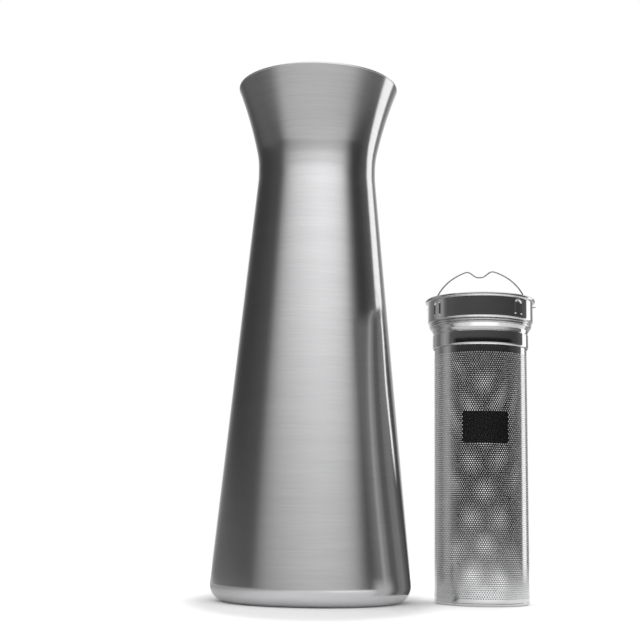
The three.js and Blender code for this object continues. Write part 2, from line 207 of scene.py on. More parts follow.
def object_place(tree):
    return output(tree, "ShaderNodeTexCoord", take="Object")


def round_axis(place):
    """The angle round the Z axis, from the camera's side and positive to the right, and the height."""
    parts = all_outputs(place.tree, add_node(place.tree, "ShaderNodeSeparateXYZ", {0: place}))
    return math_node(place.tree, "ARCTAN2", parts["X"], parts["Y"] * -1.0), parts["Z"]


def new_material(name):
    material = bpy.data.materials.new(name)
    material.use_nodes = True
    material.node_tree.nodes.clear()
    return material, material.node_tree


print("helpers: table_ramp, smooth_step, mix_grey, vector_math, round_axis")

# %% [markdown]
# ## The studio
# Steel has almost no colour of its own: it shows the room. So the room is what is designed here.
# It is a white studio with a black flag on each side, a white sweep behind the object, and a tall
# strip light behind it on the right. A low black card in front keeps upright steel dark near its
# foot. The world is made from the direction in which a ray leaves: its azimuth picks a brightness
# from a table, and its height picks ceiling, wall or floor.
#
# The camera sees plain white instead, and matt surfaces get an even light, which keeps their
# colours as they are written.

# %% World: what metal sees
world = bpy.data.worlds.new("studio")
bpy.context.scene.world = world
world.use_nodes = True
studio = world.node_tree
studio.nodes.clear()

WALL = [  # azimuth in degrees from the camera's side, positive to the right, and brightness
    (-180, 0.95), (-168, 0.7), (-158, 0.3), (-146, 0.1), (-130, 0.05), (-100, 0.07), (-78, 0.1),
    (-60, 0.08), (-30, 0.08), (0, 0.08), (30, 0.07), (60, 0.06), (84, 0.05), (100, 0.08),
    (142, 0.2), (152, 0.32), (162, 0.6), (172, 0.9), (180, 0.95),
]
LEFT_FOOT = [(-158, 0.32), (-146, 0.18), (-130, 0.15), (-100, 0.15), (-80, 0.11)]
WALL_FOOT = WALL[:2] + LEFT_FOOT + WALL[7:]  # the same near the table, where the left is lighter
FLOOR_FAR = [
    (-180, 0.8), (-150, 0.4), (-120, 0.14), (-75, 0.16), (-55, 0.62), (0, 0.66), (50, 0.62),
    (75, 0.16), (110, 0.16), (150, 0.4), (180, 0.8),
]
WALL_BLEND = 0.04, 0.17  # heights between which WALL_FOOT gives way to WALL
LOW_CARD_SIDE = math.radians(80), math.radians(64)
LOW_CARD_TOP = 0.155, 0.13
LOW_CARD_SHARE = 0.85  # how much of the light in front the low black card takes

azimuth, height = round_axis(output(studio, "ShaderNodeTexCoord", take="Generated"))
turn = azimuth / (2 * math.pi) + 0.5
upper_wall, wall_foot, far_floor = (
    table_ramp(turn, table, -180, 180) for table in (WALL, WALL_FOOT, FLOOR_FAR))
low_card = smooth_step(abs(azimuth), *LOW_CARD_SIDE) * smooth_step(height, *LOW_CARD_TOP)
wall = mix_grey(smooth_step(height, *WALL_BLEND), wall_foot, upper_wall)
wall = wall * (1.0 - low_card * LOW_CARD_SHARE)
print("wall of", len(WALL), "stops, floor of", len(FLOOR_FAR))

# %% World: the strip light
STRIP_AZIMUTH = math.radians(122.5)
STRIP_LEAN = 0.30  # how many radians further round it stands for each unit of height
STRIP_HALF = math.radians(10)
STRIP_FEATHER = math.radians(2.0)
STRIP_TOP = 0.75, 0.6
STRIP_LIGHT = 1.3

off_strip = abs(azimuth - (height * STRIP_LEAN + STRIP_AZIMUTH))
strip = smooth_step(off_strip, STRIP_HALF + STRIP_FEATHER, STRIP_HALF) * smooth_step(height, *STRIP_TOP)
print("strip at", round(math.degrees(STRIP_AZIMUTH)), "degrees")

# %% World: ceiling, floor and the three kinds of ray
CEILING_EDGE = 0.62, 0.85
FLOOR_EDGE = -0.03, -0.06
CEILING_LIGHT = 1.0
EVEN_LIGHT = 0.9

walls = mix_grey(strip, wall, STRIP_LIGHT)
floor = mix_grey(strip, far_floor, STRIP_LIGHT)
room = mix_grey(smooth_step(height, *FLOOR_EDGE), walls, floor)
room = mix_grey(smooth_step(height, *CEILING_EDGE), room, CEILING_LIGHT)
ray = all_outputs(studio, add_node(studio, "ShaderNodeLightPath"))
seen_by_matt = mix_grey(ray["Is Glossy Ray"], EVEN_LIGHT, room)
brightness = mix_grey(ray["Is Camera Ray"], seen_by_matt, 1.0)
background = output(studio, "ShaderNodeBackground", {"Color": (1, 1, 1, 1), "Strength": brightness})
add_node(studio, "ShaderNodeOutputWorld", {"Surface": background})
world.cycles.sampling_method = "NONE"
print("studio:", len(studio.nodes), "nodes")

# %% [markdown]
# ## Making a mesh
# All meshes here are arrays of points and faces. One helper turns such arrays into an object,
# smooths it and keeps edges sharper than a given angle crisp. A piece of the part then rides on its
# body, and a piece of the studio is left as a plain object.

# %% Mesh helper
def new_object(name, points_mm, faces, material, place=None, sharp=None):
    mesh = bpy.data.meshes.new(name)
    mesh.from_pydata((np.asarray(points_mm, float) * MM).tolist(), [], faces)
    if place is not None:
        mesh.transform(place)
    mesh.shade_smooth()
    if sharp is not None:
        mesh.set_sharp_from_angle(angle=math.radians(sharp))
    mesh.materials.append(material)
    made = bpy.data.objects.new(name, mesh)
    bpy.context.scene.collection.objects.link(made)
    return made


def make_piece(name, points_mm, faces, body, material, place=None, sharp=35):
    piece = new_object(name, points_mm, faces, material, place, sharp)
    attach(piece, body)
    return piece


def stage_piece(name, points_mm, faces, material):
    piece = new_object(name, points_mm, faces, material)
    return piece


print("meshes are written in mm and scaled by", MM)

# %% [markdown]
# ## The table
# The table is white paper. It is a disc that fades out before its edge, so no horizon shows. To
# the camera the paper is a little overexposed, as in a product picture. That alone would wash out
# most of the soft shadow round the feet, so a shadow is painted into the paper in an oval round the
# carafe's foot, where it adds to the object's own shadow. Metal sees paper with painted light and
# shade: greyer on the left, lighter near the objects and darker further off, and a painted pool of
# light in front of the infuser, brighter than white, which draws the bright band under the collar's drum.

# %% Table
TABLE_RADIUS = 620
TABLE_FADE = 300
TABLE_SIDES, TABLE_DROP = 96, 0.05
# Painted light and shade of the paper that metal sees: lighter near, greyer on the left, darker further off
PAPER_NEAR, PAPER_LEFT, PAPER_FAR = 1.1, 0.44, 0.78
LEFT_EDGE = -110 * MM, -10 * MM  # from left to right, PAPER_LEFT turns into PAPER_NEAR here
FAR_EDGE = 170 * MM, 330 * MM
# A painted pool of light on the paper in front of the infuser, brighter than white, seen by metal only
PAPER_CARD = 1.6
WHITE_CARD, WHITE_CARD_HALF, WHITE_CARD_EDGE = (110, -125), (115, 70), (1.0, 0.6)
PAPER_SEEN = 1.42
PAPER_SHADE = 0.72  # how much of that is left in the painted shadow round the carafe's foot
SHADE_HALF, SHADE_EDGE = (76, 150), (0.72, 1.0)


def on_oval(place, middle, half, edge):
    """A soft step across the edge of an oval, whose middle is 0 and whose rim is 1."""
    (x, y), (wide, deep) = middle, half
    scaled = output(place.tree, "ShaderNodeMapping", {
        "Vector": place, "Location": (-x / wide, -y / deep, 0),
        "Scale": (1 / (wide * MM), 1 / (deep * MM), 0)})
    return smooth_step(vector_math(place.tree, "LENGTH", scaled, take="Value"), *edge)


paper, tree = new_material("table_paper")
place = object_place(tree)
distance = vector_math(tree, "LENGTH", place, take="Value")
open_share = smooth_step(distance, (TABLE_RADIUS - TABLE_FADE) * MM, TABLE_RADIUS * MM)
to_camera = output(tree, "ShaderNodeLightPath", take="Is Camera Ray")
sideways = output(tree, "ShaderNodeSeparateXYZ", {0: place}, "X")
# Painted shade: the paper that metal sees is greyer on the left
near = mix_grey(smooth_step(sideways, *LEFT_EDGE), PAPER_LEFT, PAPER_NEAR)
# A painted pool of light on the paper in front of the infuser
near = mix_grey(on_oval(place, WHITE_CARD, WHITE_CARD_HALF, WHITE_CARD_EDGE), near, PAPER_CARD)
# Painted shade: the paper that metal sees is darker further off
seen_by_metal = mix_grey(smooth_step(distance, *FAR_EDGE), near, PAPER_FAR)
# A painted shadow: the paper is darker in an oval round the carafe's foot
seen = mix_grey(on_oval(place, (0, 0), SHADE_HALF, SHADE_EDGE), PAPER_SEEN * PAPER_SHADE, PAPER_SEEN)
sheet = output(tree, "ShaderNodeBsdfDiffuse", {"Color": mix_grey(to_camera, seen_by_metal, seen)})
clear = output(tree, "ShaderNodeBsdfTransparent")
faded = output(tree, "ShaderNodeMixShader", {0: open_share, 1: sheet, 2: clear})
add_node(tree, "ShaderNodeOutputMaterial", {"Surface": faded})

turns = np.linspace(0, 2 * math.pi, TABLE_SIDES, endpoint=False)
disc = [(TABLE_RADIUS * math.cos(t), TABLE_RADIUS * math.sin(t), 0) for t in turns]
table = stage_piece("table", disc, [list(range(len(disc)))], paper)
table.location.z = -TABLE_DROP * MM
print("table radius", TABLE_RADIUS, "mm")

# %% [markdown]
# ## Groups shared by the metals
# Brushing is a pattern of very long, very fine lines that run round the body. A noise texture
# gives it if its space is squeezed: coarse along the lines, fine across them. The group returns
# values only, so each material decides what they change.

# %% Group: brushed lines
def new_group(name, inputs, outputs):
    """A node group with named numbers going in and out. It comes with its inputs by name."""
    group = bpy.data.node_groups.new(name, "ShaderNodeTree")
    for label, value in inputs.items():
        socket = group.interface.new_socket(label, in_out="INPUT", socket_type="NodeSocketFloat")
        socket.default_value = value
    for label in outputs:
        group.interface.new_socket(label, in_out="OUTPUT", socket_type="NodeSocketFloat")
    return group, all_outputs(group, add_node(group, "NodeGroupInput"))


def squeezed_noise(tree, along, across, detail, roughness):
    """Noise that is drawn out round the Z axis: along and across are lines per metre."""
    squeeze = output(tree, "ShaderNodeCombineXYZ", {"X": along, "Y": along, "Z": across})
    squeezed = vector_math(tree, "MULTIPLY", object_place(tree), squeeze)
    return output(tree, "ShaderNodeTexNoise", {
        "Vector": squeezed, "Scale": 1.0, "Detail": detail, "Roughness": roughness})


brushed, given = new_group("brushed_lines", {"Along": 20, "Across": 3000}, ["Lines", "Bands"])
along, across = given["Along"], given["Across"]
add_node(brushed, "NodeGroupOutput", {
    "Lines": squeezed_noise(brushed, along, across, 3.0, 0.65),
    "Bands": squeezed_noise(brushed, along * 0.4, across * 0.06, 2.0, 0.5)})
print("brushed_lines:", len(brushed.nodes), "nodes")

# %% Group: handling marks
# Steel that has been handled has short level scratches in patches and faint soft smudges.
marked, given = new_group("handling_marks", {"Size": 1.0, "Amount": 0.5}, ["Scratches", "Smudges"])
size = given["Size"]
strokes = smooth_step(squeezed_noise(marked, 110.0 / size, 2100.0 / size, 1.0, 0.4), 0.67, 0.76)
wide = 18.0 / size
patches = smooth_step(squeezed_noise(marked, wide, wide, 2.0, 0.5), 0.44, 0.62)
add_node(marked, "NodeGroupOutput", {
    "Scratches": strokes * patches * given["Amount"],
    "Smudges": squeezed_noise(marked, wide, wide, 3.0, 0.55)})
print("handling_marks:", len(marked.nodes), "nodes")

# %% Group: pressed sheet
# Pressed and rolled sheet is never quite true: its mirror image wavers slightly.
wavy, given = new_group("sheet_waves", {"Waves": 60, "Depth": 1.0}, ["Height", "Haze"])
waves = given["Waves"]
fine = waves * 9.0
add_node(wavy, "NodeGroupOutput", {
    "Height": squeezed_noise(wavy, waves, waves, 1.0, 0.5) * given["Depth"],
    "Haze": squeezed_noise(wavy, fine, fine, 3.0, 0.6)})
print("sheet_waves:", len(wavy.nodes), "nodes")

# %% Group: inner skin
# The two faces of a thin tube are told apart by how far they lie from its axis.
skin, given = new_group("inner_skin", {"Middle X": 0.0, "Middle Y": 0.0, "Radius": 0.02}, ["Inside"])
middle = output(skin, "ShaderNodeCombineXYZ", {"X": given["Middle X"], "Y": given["Middle Y"]})
from_axis = vector_math(skin, "SUBTRACT", object_place(skin), middle)
from_axis = vector_math(skin, "MULTIPLY", from_axis, (1, 1, 0))
reach = vector_math(skin, "LENGTH", from_axis, take="Value")
add_node(skin, "NodeGroupOutput", {"Inside": math_node(skin, "LESS_THAN", reach, given["Radius"])})
print("groups:", [g.name for g in bpy.data.node_groups])

# %% [markdown]
# ## The metals
# Each steel is one Principled shader with Metallic at 1. What tells the pieces apart is how
# rough the surface is and in which direction. Brushed steel blurs a reflection across its lines,
# which the Anisotropic socket does, with a tangent that runs round the axis.
#
# Only the inside of the tube is hardly metallic: it is matt and pale, as sheet is after pickling,
# and shows through the holes of the near wall as an even grey.

# %% Steel maker
SCRATCH_DARK, SCRATCH_ROUGH = 0.35, 0.12  # how much a scratch darkens and roughens the steel
INSIDE_METALLIC, INSIDE_ROUGH, INSIDE_GREY = 0.1, 0.5, (0.79, 0.89)
QUARTER_TURN = 0.25  # lays the blur across the brushed lines


def use_group(tree, group, values):
    return all_outputs(tree, add_node(tree, "ShaderNodeGroup", values, node_tree=group))


def principled(tree, values):
    """Ends a material's tree in a Principled shader."""
    shader = output(tree, "ShaderNodeBsdfPrincipled", values)
    add_node(tree, "ShaderNodeOutputMaterial", {"Surface": shader})


def steel(name, light, dark, rough, rough_spread, along, across, grain_height, marks=0.5,
          waves=0.0, wave_count=60, directional=0.0, inner=None):
    """Brushed or pressed steel. inner is (x, y, radius) of a thin tube with a duller inside."""
    material, tree = new_material(name)
    grain = use_group(tree, brushed, {"Along": along, "Across": across})
    handled = use_group(tree, marked, {"Size": 1.0, "Amount": marks})
    sheet = use_group(tree, wavy, {"Waves": wave_count, "Depth": waves})
    scratches = handled["Scratches"]
    tone = grain["Lines"] * 0.6 + grain["Bands"] * 0.4 - scratches * SCRATCH_DARK
    colour = ramp_node(tone, [(0.3, dark), (0.62, light)])
    haze = handled["Smudges"] * 0.5 + sheet["Haze"] * 0.5
    roughness = (haze - 0.5) * rough_spread + rough
    roughness = math_node(tree, "ADD", roughness, scratches * SCRATCH_ROUGH, use_clamp=True)
    relief = (grain["Lines"] - scratches) * grain_height + sheet["Height"]
    bump = output(tree, "ShaderNodeBump", {"Strength": 1.0, "Distance": MM, "Height": relief})
    looks = {"Base Color": colour, "Metallic": 1.0, "Roughness": roughness, "Normal": bump}
    if inner is not None:
        inside = use_group(tree, skin, dict(zip(("Middle X", "Middle Y", "Radius"), inner)))["Inside"]
        pickled = mix_grey(grain["Bands"], *INSIDE_GREY)
        looks["Metallic"] = mix_grey(inside, 1.0, INSIDE_METALLIC)
        looks["Roughness"] = mix_grey(inside, roughness, INSIDE_ROUGH)
        looks["Base Color"] = output(
            tree, "ShaderNodeMix", {0: inside, 6: colour, 7: pickled}, 2, data_type="RGBA")
    if directional:
        tangent = output(tree, "ShaderNodeTangent", direction_type="RADIAL", axis="Z")
        looks |= {"Tangent": tangent, "Anisotropic": directional, "Anisotropic Rotation": QUARTER_TURN}
    principled(tree, looks)
    return material


print("steel is made from the groups", brushed.name + ",", marked.name, "and", wavy.name)

# %% The steels of this object
def cool(grey):
    """Steel is a hair bluer than grey."""
    return grey, grey, grey + 0.01


TUBE_INSIDE = 25.88  # just under the outer face of the tube's sheet
shell_steel = steel("brushed_shell", cool(0.685), cool(0.62), 0.17, 0.03,
                    along=44, across=2600, grain_height=0.0011, marks=0.5, directional=0.55)
flask_steel = steel("flask_steel", cool(0.70), cool(0.63), 0.22, 0.08,
                    along=10, across=1500, grain_height=0.004, marks=0.3, directional=0.5)
pressed_steel = steel("pressed_steel", cool(0.80), cool(0.74), 0.07, 0.05,
                      along=60, across=200, grain_height=0.0, marks=0.25, waves=0.05, wave_count=90)
mesh_steel = steel("mesh_steel", cool(0.78), cool(0.71), 0.10, 0.06,
                   along=60, across=200, grain_height=0.0, marks=0.2, waves=0.02, wave_count=70,
                   inner=(INFUSER_X * MM, INFUSER_Y * MM, TUBE_INSIDE * MM))
wire_steel = steel("wire_steel", cool(0.62), cool(0.54), 0.18, 0.08,
                   along=400, across=400, grain_height=0.001, marks=0.2)
plate_steel = steel("plate_steel", cool(0.68), cool(0.58), 0.30, 0.10,
                    along=40, across=400, grain_height=0.003, marks=0.4)
print("steels:", [m.name for m in bpy.data.materials if m.name.endswith(("steel", "shell"))])

# %% [markdown]
# ## Plastic, silicone, glass and the getter
# The plug is moulded plastic with a fine spark texture. Silicone is duller, picks up dust and has
# a soft sheen at its edges. The glass bead and the getter are sealed inside, but they still get
# a finish of their own.

# %% Matt materials
def moulded(name, colour, shade, rough, grain, depth, sheen=0.0):
    material, tree = new_material(name)
    haze = use_group(tree, wavy, {"Waves": grain, "Depth": 1.0})["Haze"]
    smudges = use_group(tree, marked, {"Size": 0.6, "Amount": 0.4})["Smudges"]
    tint = ramp_node(haze, [(0.3, shade), (0.7, colour)])
    bump = output(tree, "ShaderNodeBump", {"Strength": 1.0, "Distance": depth * MM, "Height": haze})
    principled(tree, {"Base Color": tint, "Metallic": 0.0, "Roughness": smudges * 0.2 + (rough - 0.1),
                      "Normal": bump, "Sheen Weight": sheen})
    return material


plug_plastic = moulded("plug_plastic", (0.024, 0.025, 0.027), (0.016, 0.017, 0.018), 0.45, 500, 0.03)
silicone = moulded("silicone", (0.075, 0.078, 0.082), (0.055, 0.057, 0.06), 0.65, 260, 0.02, sheen=0.3)
seal_glass = moulded("seal_glass", (0.04, 0.065, 0.05), (0.03, 0.05, 0.04), 0.18, 200, 0.01)
getter_metal = steel("getter_metal", (0.55, 0.545, 0.53), (0.46, 0.455, 0.44), 0.35, 0.1,
                     along=300, across=300, grain_height=0.002)
print("materials:", len(bpy.data.materials))

# %% [markdown]
# ## Turned and pressed pieces
# Almost every piece is round, so each is a profile that is swept round an axis. The profile is a
# list of (radius, height) points that runs anticlockwise. Short arcs stand where the sheet is bent,
# because a bend with a radius catches a thin line of light and a sharp corner doesn't.

# %% Profile helpers
MOST_RUN = 0.48  # the share of an edge that the rounding of one corner may take


def arc(centre, radius, start, end, steps=10):
    angles = np.linspace(start, end, steps + 1)
    return [(centre[0] + radius * math.cos(a), centre[1] + radius * math.sin(a)) for a in angles]


def rounded(points, radii, steps=5, closed=True):
    """Rounds the corners of an outline. radii holds one radius for each point, 0 for a sharp one."""
    made = []
    count = len(points)
    for i, (point, radius) in enumerate(zip(points, radii)):
        ends = not closed and i in (0, count - 1)
        if radius <= 0 or ends:
            made.append(tuple(point))
            continue
        here = Vector(point)
        before = Vector(points[i - 1]) - here
        after = Vector(points[(i + 1) % count]) - here
        bend = before.angle(after)
        run = min(radius / math.tan(bend / 2), before.length * MOST_RUN, after.length * MOST_RUN)
        radius = run * math.tan(bend / 2)
        bisector = (before.normalized() + after.normalized()).normalized()
        centre = here + bisector * (radius / math.sin(bend / 2))
        start = here + before.normalized() * run - centre
        end = here + after.normalized() * run - centre
        sweep = start.angle_signed(end)
        first = math.atan2(start.y, start.x)
        made += arc(centre, radius, first, first - sweep, steps)
    return made


def equal_rings(count, size):
    """Point numbers of rings that follow each other and have size points each."""
    return [list(range(i * size, (i + 1) * size)) for i in range(count)]


def ring_faces(rows, closed):
    """Faces between rings of point numbers. Where a ring is a single point, they are triangles."""
    faces = []
    for low, high in zip(rows, rows[1:] + rows[:1] if closed else rows[1:]):
        for j in range(len(low)):
            k = (j + 1) % len(low)
            faces.append(list(dict.fromkeys([low[j], low[k], high[k], high[j]])))
    return faces


def revolve(name, profile, body, material, segments=192, place=None):
    """Sweeps a profile round Z. It closes on itself, or starts and ends on the axis."""
    turns = np.linspace(0, 2 * math.pi, segments, endpoint=False)
    points, rows = [], []
    for r, z in profile:
        if r == 0:
            rows.append([len(points)] * segments)
            points.append((0, 0, z))
        else:
            rows.append(list(range(len(points), len(points) + segments)))
            points += [(r * c, r * s, z) for c, s in zip(np.cos(turns), np.sin(turns))]
    return make_piece(name, points, ring_faces(rows, profile[0][0] != 0), body, material, place)


print("a quarter of a bend is", len(arc((0, 0), 1, 0, math.pi / 2)), "points")

# %% [markdown]
# ## The carafe's walls
# Shell and flask follow one line: a corner off the floor, a straight taper, the arc of the waist
# and a flare up to the mouth. The taper touches both arcs, so light runs over the joins unbroken.

# %% Wall line
WAIST_BAND = 3.4  # the narrowest ring is a short upright band
STRAIGHT_STEPS = 24
WALL_DEPTH = SHELL_WALL + VACUUM_GAP + FLASK_WALL
WAIST_RADIUS = BORE_RADIUS + WALL_DEPTH
WAIST_HEIGHT = CARAFE_HEIGHT - WAIST_DROP
corner_centre = Vector((BASE_RADIUS - BASE_CORNER, BASE_CORNER))
waist_centre = Vector((WAIST_RADIUS + WAIST_BEND, WAIST_HEIGHT))
waist_start = waist_centre - Vector((0, WAIST_BAND))
span = waist_start - corner_centre
TAPER = math.atan2(span.y, span.x) - math.acos((BASE_CORNER + WAIST_BEND) / span.length)
side_normal = Vector((math.cos(TAPER), math.sin(TAPER)))
SIDE_REACH = corner_centre.dot(side_normal) + BASE_CORNER


def wall_line(inset, floor, corner, exit_lean, mouth, top, steps=20):
    centre_z = floor + corner
    centre_r = (SIDE_REACH - inset - corner - centre_z * side_normal.y) / side_normal.x
    line = arc((centre_r, centre_z), corner, -math.pi / 2, TAPER, steps)
    start = Vector(line[-1])
    waist = arc(waist_start, WAIST_BEND + inset, math.pi + TAPER, math.pi, steps // 2)
    waist += arc(waist_centre, WAIST_BEND + inset, math.pi, math.pi - exit_lean, steps)
    straight = [tuple(start.lerp(Vector(waist[0]), i / STRAIGHT_STEPS)) for i in range(1, STRAIGHT_STEPS)]
    (r0, z0), (r1, z1) = waist[-1], (mouth, top)
    end_lean = 2 * math.atan2(r1 - r0, z1 - z0) - exit_lean
    bend = (z1 - z0) / (math.sin(end_lean) - math.sin(exit_lean))
    centre = (r0 + bend * math.cos(exit_lean), z0 - bend * math.sin(exit_lean))
    flare = arc(centre, bend, math.pi - exit_lean, math.pi - end_lean, steps)
    return line + straight + waist + flare[1:], end_lean


print("taper", round(math.degrees(TAPER), 2), "degrees, waist radius", WAIST_RADIUS, "mm")

# %% Outer shell
LIP_FOOT = CARAFE_HEIGHT - LIP_HEIGHT
SEAM_IN, SEAM_HIGH, SEAM_ROUND = 0.16, 0.14, 0.03  # the fine groove under the lip
FOOT_INNER = BASE_RADIUS - BASE_CORNER - FOOT_WIDTH
outside, mouth_lean = wall_line(0, 0, BASE_CORNER, WAIST_EXIT, MOUTH_RADIUS, LIP_FOOT)
MOUTH_SLANT = 1 / math.cos(mouth_lean)
SHELL_MOUTH = MOUTH_RADIUS - SHELL_WALL * MOUTH_SLANT
inside, _ = wall_line(SHELL_WALL, SHELL_WALL, BASE_CORNER - SHELL_WALL, WAIST_EXIT, SHELL_MOUTH, LIP_FOOT)
seam = [(MOUTH_RADIUS - SEAM_ROUND, LIP_FOOT - SEAM_HIGH), (MOUTH_RADIUS - SEAM_IN, LIP_FOOT)]
shell_profile = [(FOOT_INNER, 0)] + outside[:-1] + seam + inside[::-1] + [(FOOT_INNER, SHELL_WALL)]
shell = revolve("carafe_shell", shell_profile, "carafe", shell_steel, segments=320)
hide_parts("outer_shell")
print("shell:", len(shell.data.polygons), "faces")

# %% [markdown]
# ## The flask inside
# The liner hangs in the shell by its lip alone, with a vacuum between the walls. Its lip is folded
# over the shell's edge, so the rim that a hand or a cup touches is one small round bead.

# %% Inner flask
LIP_ROUND = 0.42
PLATE_TOP = RECESS_DEPTH + PLATE_WALL
FLASK_FOOT = PLATE_TOP + FLOOR_GAP
FLASK_FLOOR = FLASK_FOOT + FLASK_WALL
FLASK_MOUTH = SHELL_MOUTH - (FIT_GAP + FLASK_WALL) * MOUTH_SLANT
flask_outside, _ = wall_line(SHELL_WALL + VACUUM_GAP, FLASK_FOOT, FLASK_CORNER, FLASK_EXIT,
                             SHELL_MOUTH - FIT_GAP * MOUTH_SLANT, LIP_FOOT)
flask_inside, _ = wall_line(WALL_DEPTH, FLASK_FLOOR, FLASK_CORNER - FLASK_WALL, FLASK_EXIT,
                            FLASK_MOUTH, LIP_FOOT)
lip = [
    (MOUTH_RADIUS - SEAM_IN, LIP_FOOT), (MOUTH_RADIUS, LIP_FOOT + SEAM_HIGH),
    *arc((MOUTH_RADIUS - LIP_ROUND, CARAFE_HEIGHT - LIP_ROUND), LIP_ROUND, 0, math.pi / 2, 6),
    *arc((FLASK_MOUTH + LIP_ROUND, CARAFE_HEIGHT - LIP_ROUND), LIP_ROUND, math.pi / 2, math.pi, 6),
]
flask_profile = [(0, FLASK_FOOT)] + flask_outside + lip + flask_inside[::-1] + [(0, FLASK_FLOOR)]
flask = revolve("carafe_flask", flask_profile, "carafe", flask_steel, segments=320)
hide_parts("inner_flask")
print("flask holds about", round(math.pi * sum(
    (a[0] + b[0]) ** 2 / 4 * (b[1] - a[1]) for a, b in zip(flask_inside, flask_inside[1:])
    if b[1] < WAIST_HEIGHT) / 1e6, 2), "litres to the waist")

# %% [markdown]
# ## Under the foot
# A pressed plate closes the shell, and a soft pad in its recess keeps the carafe from slipping.
# Neither shows from the front, but the object is turned over to be judged.

# %% Base plate and pad
SEAL_HOLE = 2
PAD_EDGE, PAD_RIM = 0.5, 2.4
RIBS, RIB_START, RIB_PITCH, RIB_FLAT, RIB_SLOPE, RIB_DEPTH = 8, 9, 3.6, 1.4, 0.3, 0.35
dish_radius = FOOT_INNER - RECESS_DRAFT
flange_outer = FOOT_INNER + FOOT_WIDTH - FIT_GAP
plate_profile = rounded([
    (SEAL_HOLE, RECESS_DEPTH), (dish_radius - RECESS_DRAFT, RECESS_DEPTH), (dish_radius, SHELL_WALL),
    (flange_outer, SHELL_WALL), (flange_outer, SHELL_WALL + PLATE_WALL),
    (dish_radius + PLATE_WALL, SHELL_WALL + PLATE_WALL),
    (dish_radius + PLATE_WALL - RECESS_DRAFT, PLATE_TOP), (SEAL_HOLE, PLATE_TOP),
], [0.1, 0.5, 0.2, 0.2, 0.2, 0.5, 0.2, 0.1])
plate = revolve("carafe_plate", plate_profile, "carafe", plate_steel)
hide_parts("outer_base")

pad_radius = dish_radius - RECESS_DRAFT - FIT_GAP
ribs = []
for i in range(RIBS):
    start, end = RIB_START + i * RIB_PITCH, RIB_START + (i + 1) * RIB_PITCH
    ribs += [(start, 0), (start + RIB_FLAT, 0), (start + RIB_FLAT + RIB_SLOPE, RIB_DEPTH),
             (end - RIB_SLOPE, RIB_DEPTH)]
pad_outline = [(0, 0)] + ribs + [
    (pad_radius - PAD_RIM, 0), (pad_radius - PAD_EDGE, 0), (pad_radius, PAD_EDGE),
    (pad_radius, RECESS_DEPTH), (0, RECESS_DEPTH)]
pad = revolve("carafe_pad", pad_outline, "carafe", silicone)
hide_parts("base_pad")
print("pad radius", round(pad_radius, 1), "mm")

# %% [markdown]
# ## The stopper
# The stopper is pressed into the neck. From above it is a satin lid with a turned knob on it. The
# plug and its ribbed ring sit below, where the neck hides them.

# %% Stopper body and seal
PLUG_DEPTH, PLUG_WALL, PLUG_GAP, PLUG_CHAMFER = 9, 2.2, 0.8, 1.6
SHOULDER_RISE, SHOULDER_HEIGHT, FLANGE_HEIGHT = 13, 6, 3
SEAL_HEIGHT, SEAL_SEAT, SEAL_RIB = 4, 1.6, 0.5
LID_WALL, LID_SKIRT, LID_CROWN = 0.8, 2.4, 1.2
plug_radius = BORE_RADIUS - PLUG_GAP
plug_foot = WAIST_HEIGHT - PLUG_DEPTH
seal_foot, seal_top = WAIST_HEIGHT - SEAL_HEIGHT / 2, WAIST_HEIGHT + SEAL_HEIGHT / 2
groove_radius = plug_radius - SEAL_SEAT
flange_foot = WAIST_HEIGHT + SHOULDER_RISE + SHOULDER_HEIGHT
flange_top = flange_foot + FLANGE_HEIGHT
_, lid_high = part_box("stopper_lid")
skirt_outer = lid_high.x / MM
skirt_inner = skirt_outer - LID_WALL
flange_radius = skirt_inner - FIT_GAP
plug_inner = groove_radius - PLUG_WALL
body_profile = rounded([
    (0, plug_foot), (plug_radius - PLUG_CHAMFER, plug_foot), (plug_radius, plug_foot + PLUG_CHAMFER),
    (plug_radius, seal_foot - FIT_GAP), (groove_radius, seal_foot - FIT_GAP),
    (groove_radius, seal_top + FIT_GAP), (plug_radius, seal_top + FIT_GAP),
    (plug_radius, WAIST_HEIGHT + SHOULDER_RISE), (flange_radius, flange_foot),
    (flange_radius, flange_top), (plug_inner, flange_top), (plug_inner, plug_foot + PLUG_WALL),
    (0, plug_foot + PLUG_WALL),
], [0, 1, 1, 0.2, 0.1, 0.1, 0.2, 2, 1, 0.3, 0.2, 2, 0], closed=False)
body = revolve("stopper_body_moulding", body_profile, "stopper", plug_plastic)
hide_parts("stopper_body")

seal_inner = groove_radius + FIT_GAP
rib_radius = BORE_RADIUS - FIT_GAP
rib_foot = rib_radius - SEAL_RIB
seal_profile = rounded([
    (seal_inner, seal_foot), (rib_foot, seal_foot), (rib_radius, seal_foot + SEAL_HEIGHT / 4),
    (rib_foot, WAIST_HEIGHT), (rib_radius, seal_top - SEAL_HEIGHT / 4), (rib_foot, seal_top),
    (seal_inner, seal_top),
], [0.2, 0.2, 0.5, 0.3, 0.5, 0.2, 0.2])
seal = revolve("stopper_ring", seal_profile, "stopper", silicone)
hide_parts("stopper_seal")
print("stopper skirt radius", round(skirt_outer, 2), "mm")

# %% Stopper lid and knob
KNOB_RADIUS, KNOB_HEIGHT, KNOB_NECK, KNOB_EDGE = 11, 16, 6.5, 1.6
STUD_RADIUS, NUT_HEIGHT = 2.5, 3.2
stud_hole = STUD_RADIUS + FIT_GAP
crown_radius = KNOB_RADIUS + LID_CROWN
lid_top = flange_top + LID_WALL
lid_profile = rounded([
    (stud_hole, flange_top), (skirt_inner, flange_top), (skirt_inner, flange_top - LID_SKIRT),
    (skirt_outer, flange_top - LID_SKIRT), (skirt_outer, lid_top),
    (crown_radius + LID_CROWN, lid_top), (crown_radius, lid_top + LID_CROWN),
    (stud_hole, lid_top + LID_CROWN),
], [0, 0.3, 0.1, 0.1, 0.75, 0.9, 0.9, 0])
lid = revolve("stopper_cap", lid_profile, "stopper", flask_steel)
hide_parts("stopper_lid")

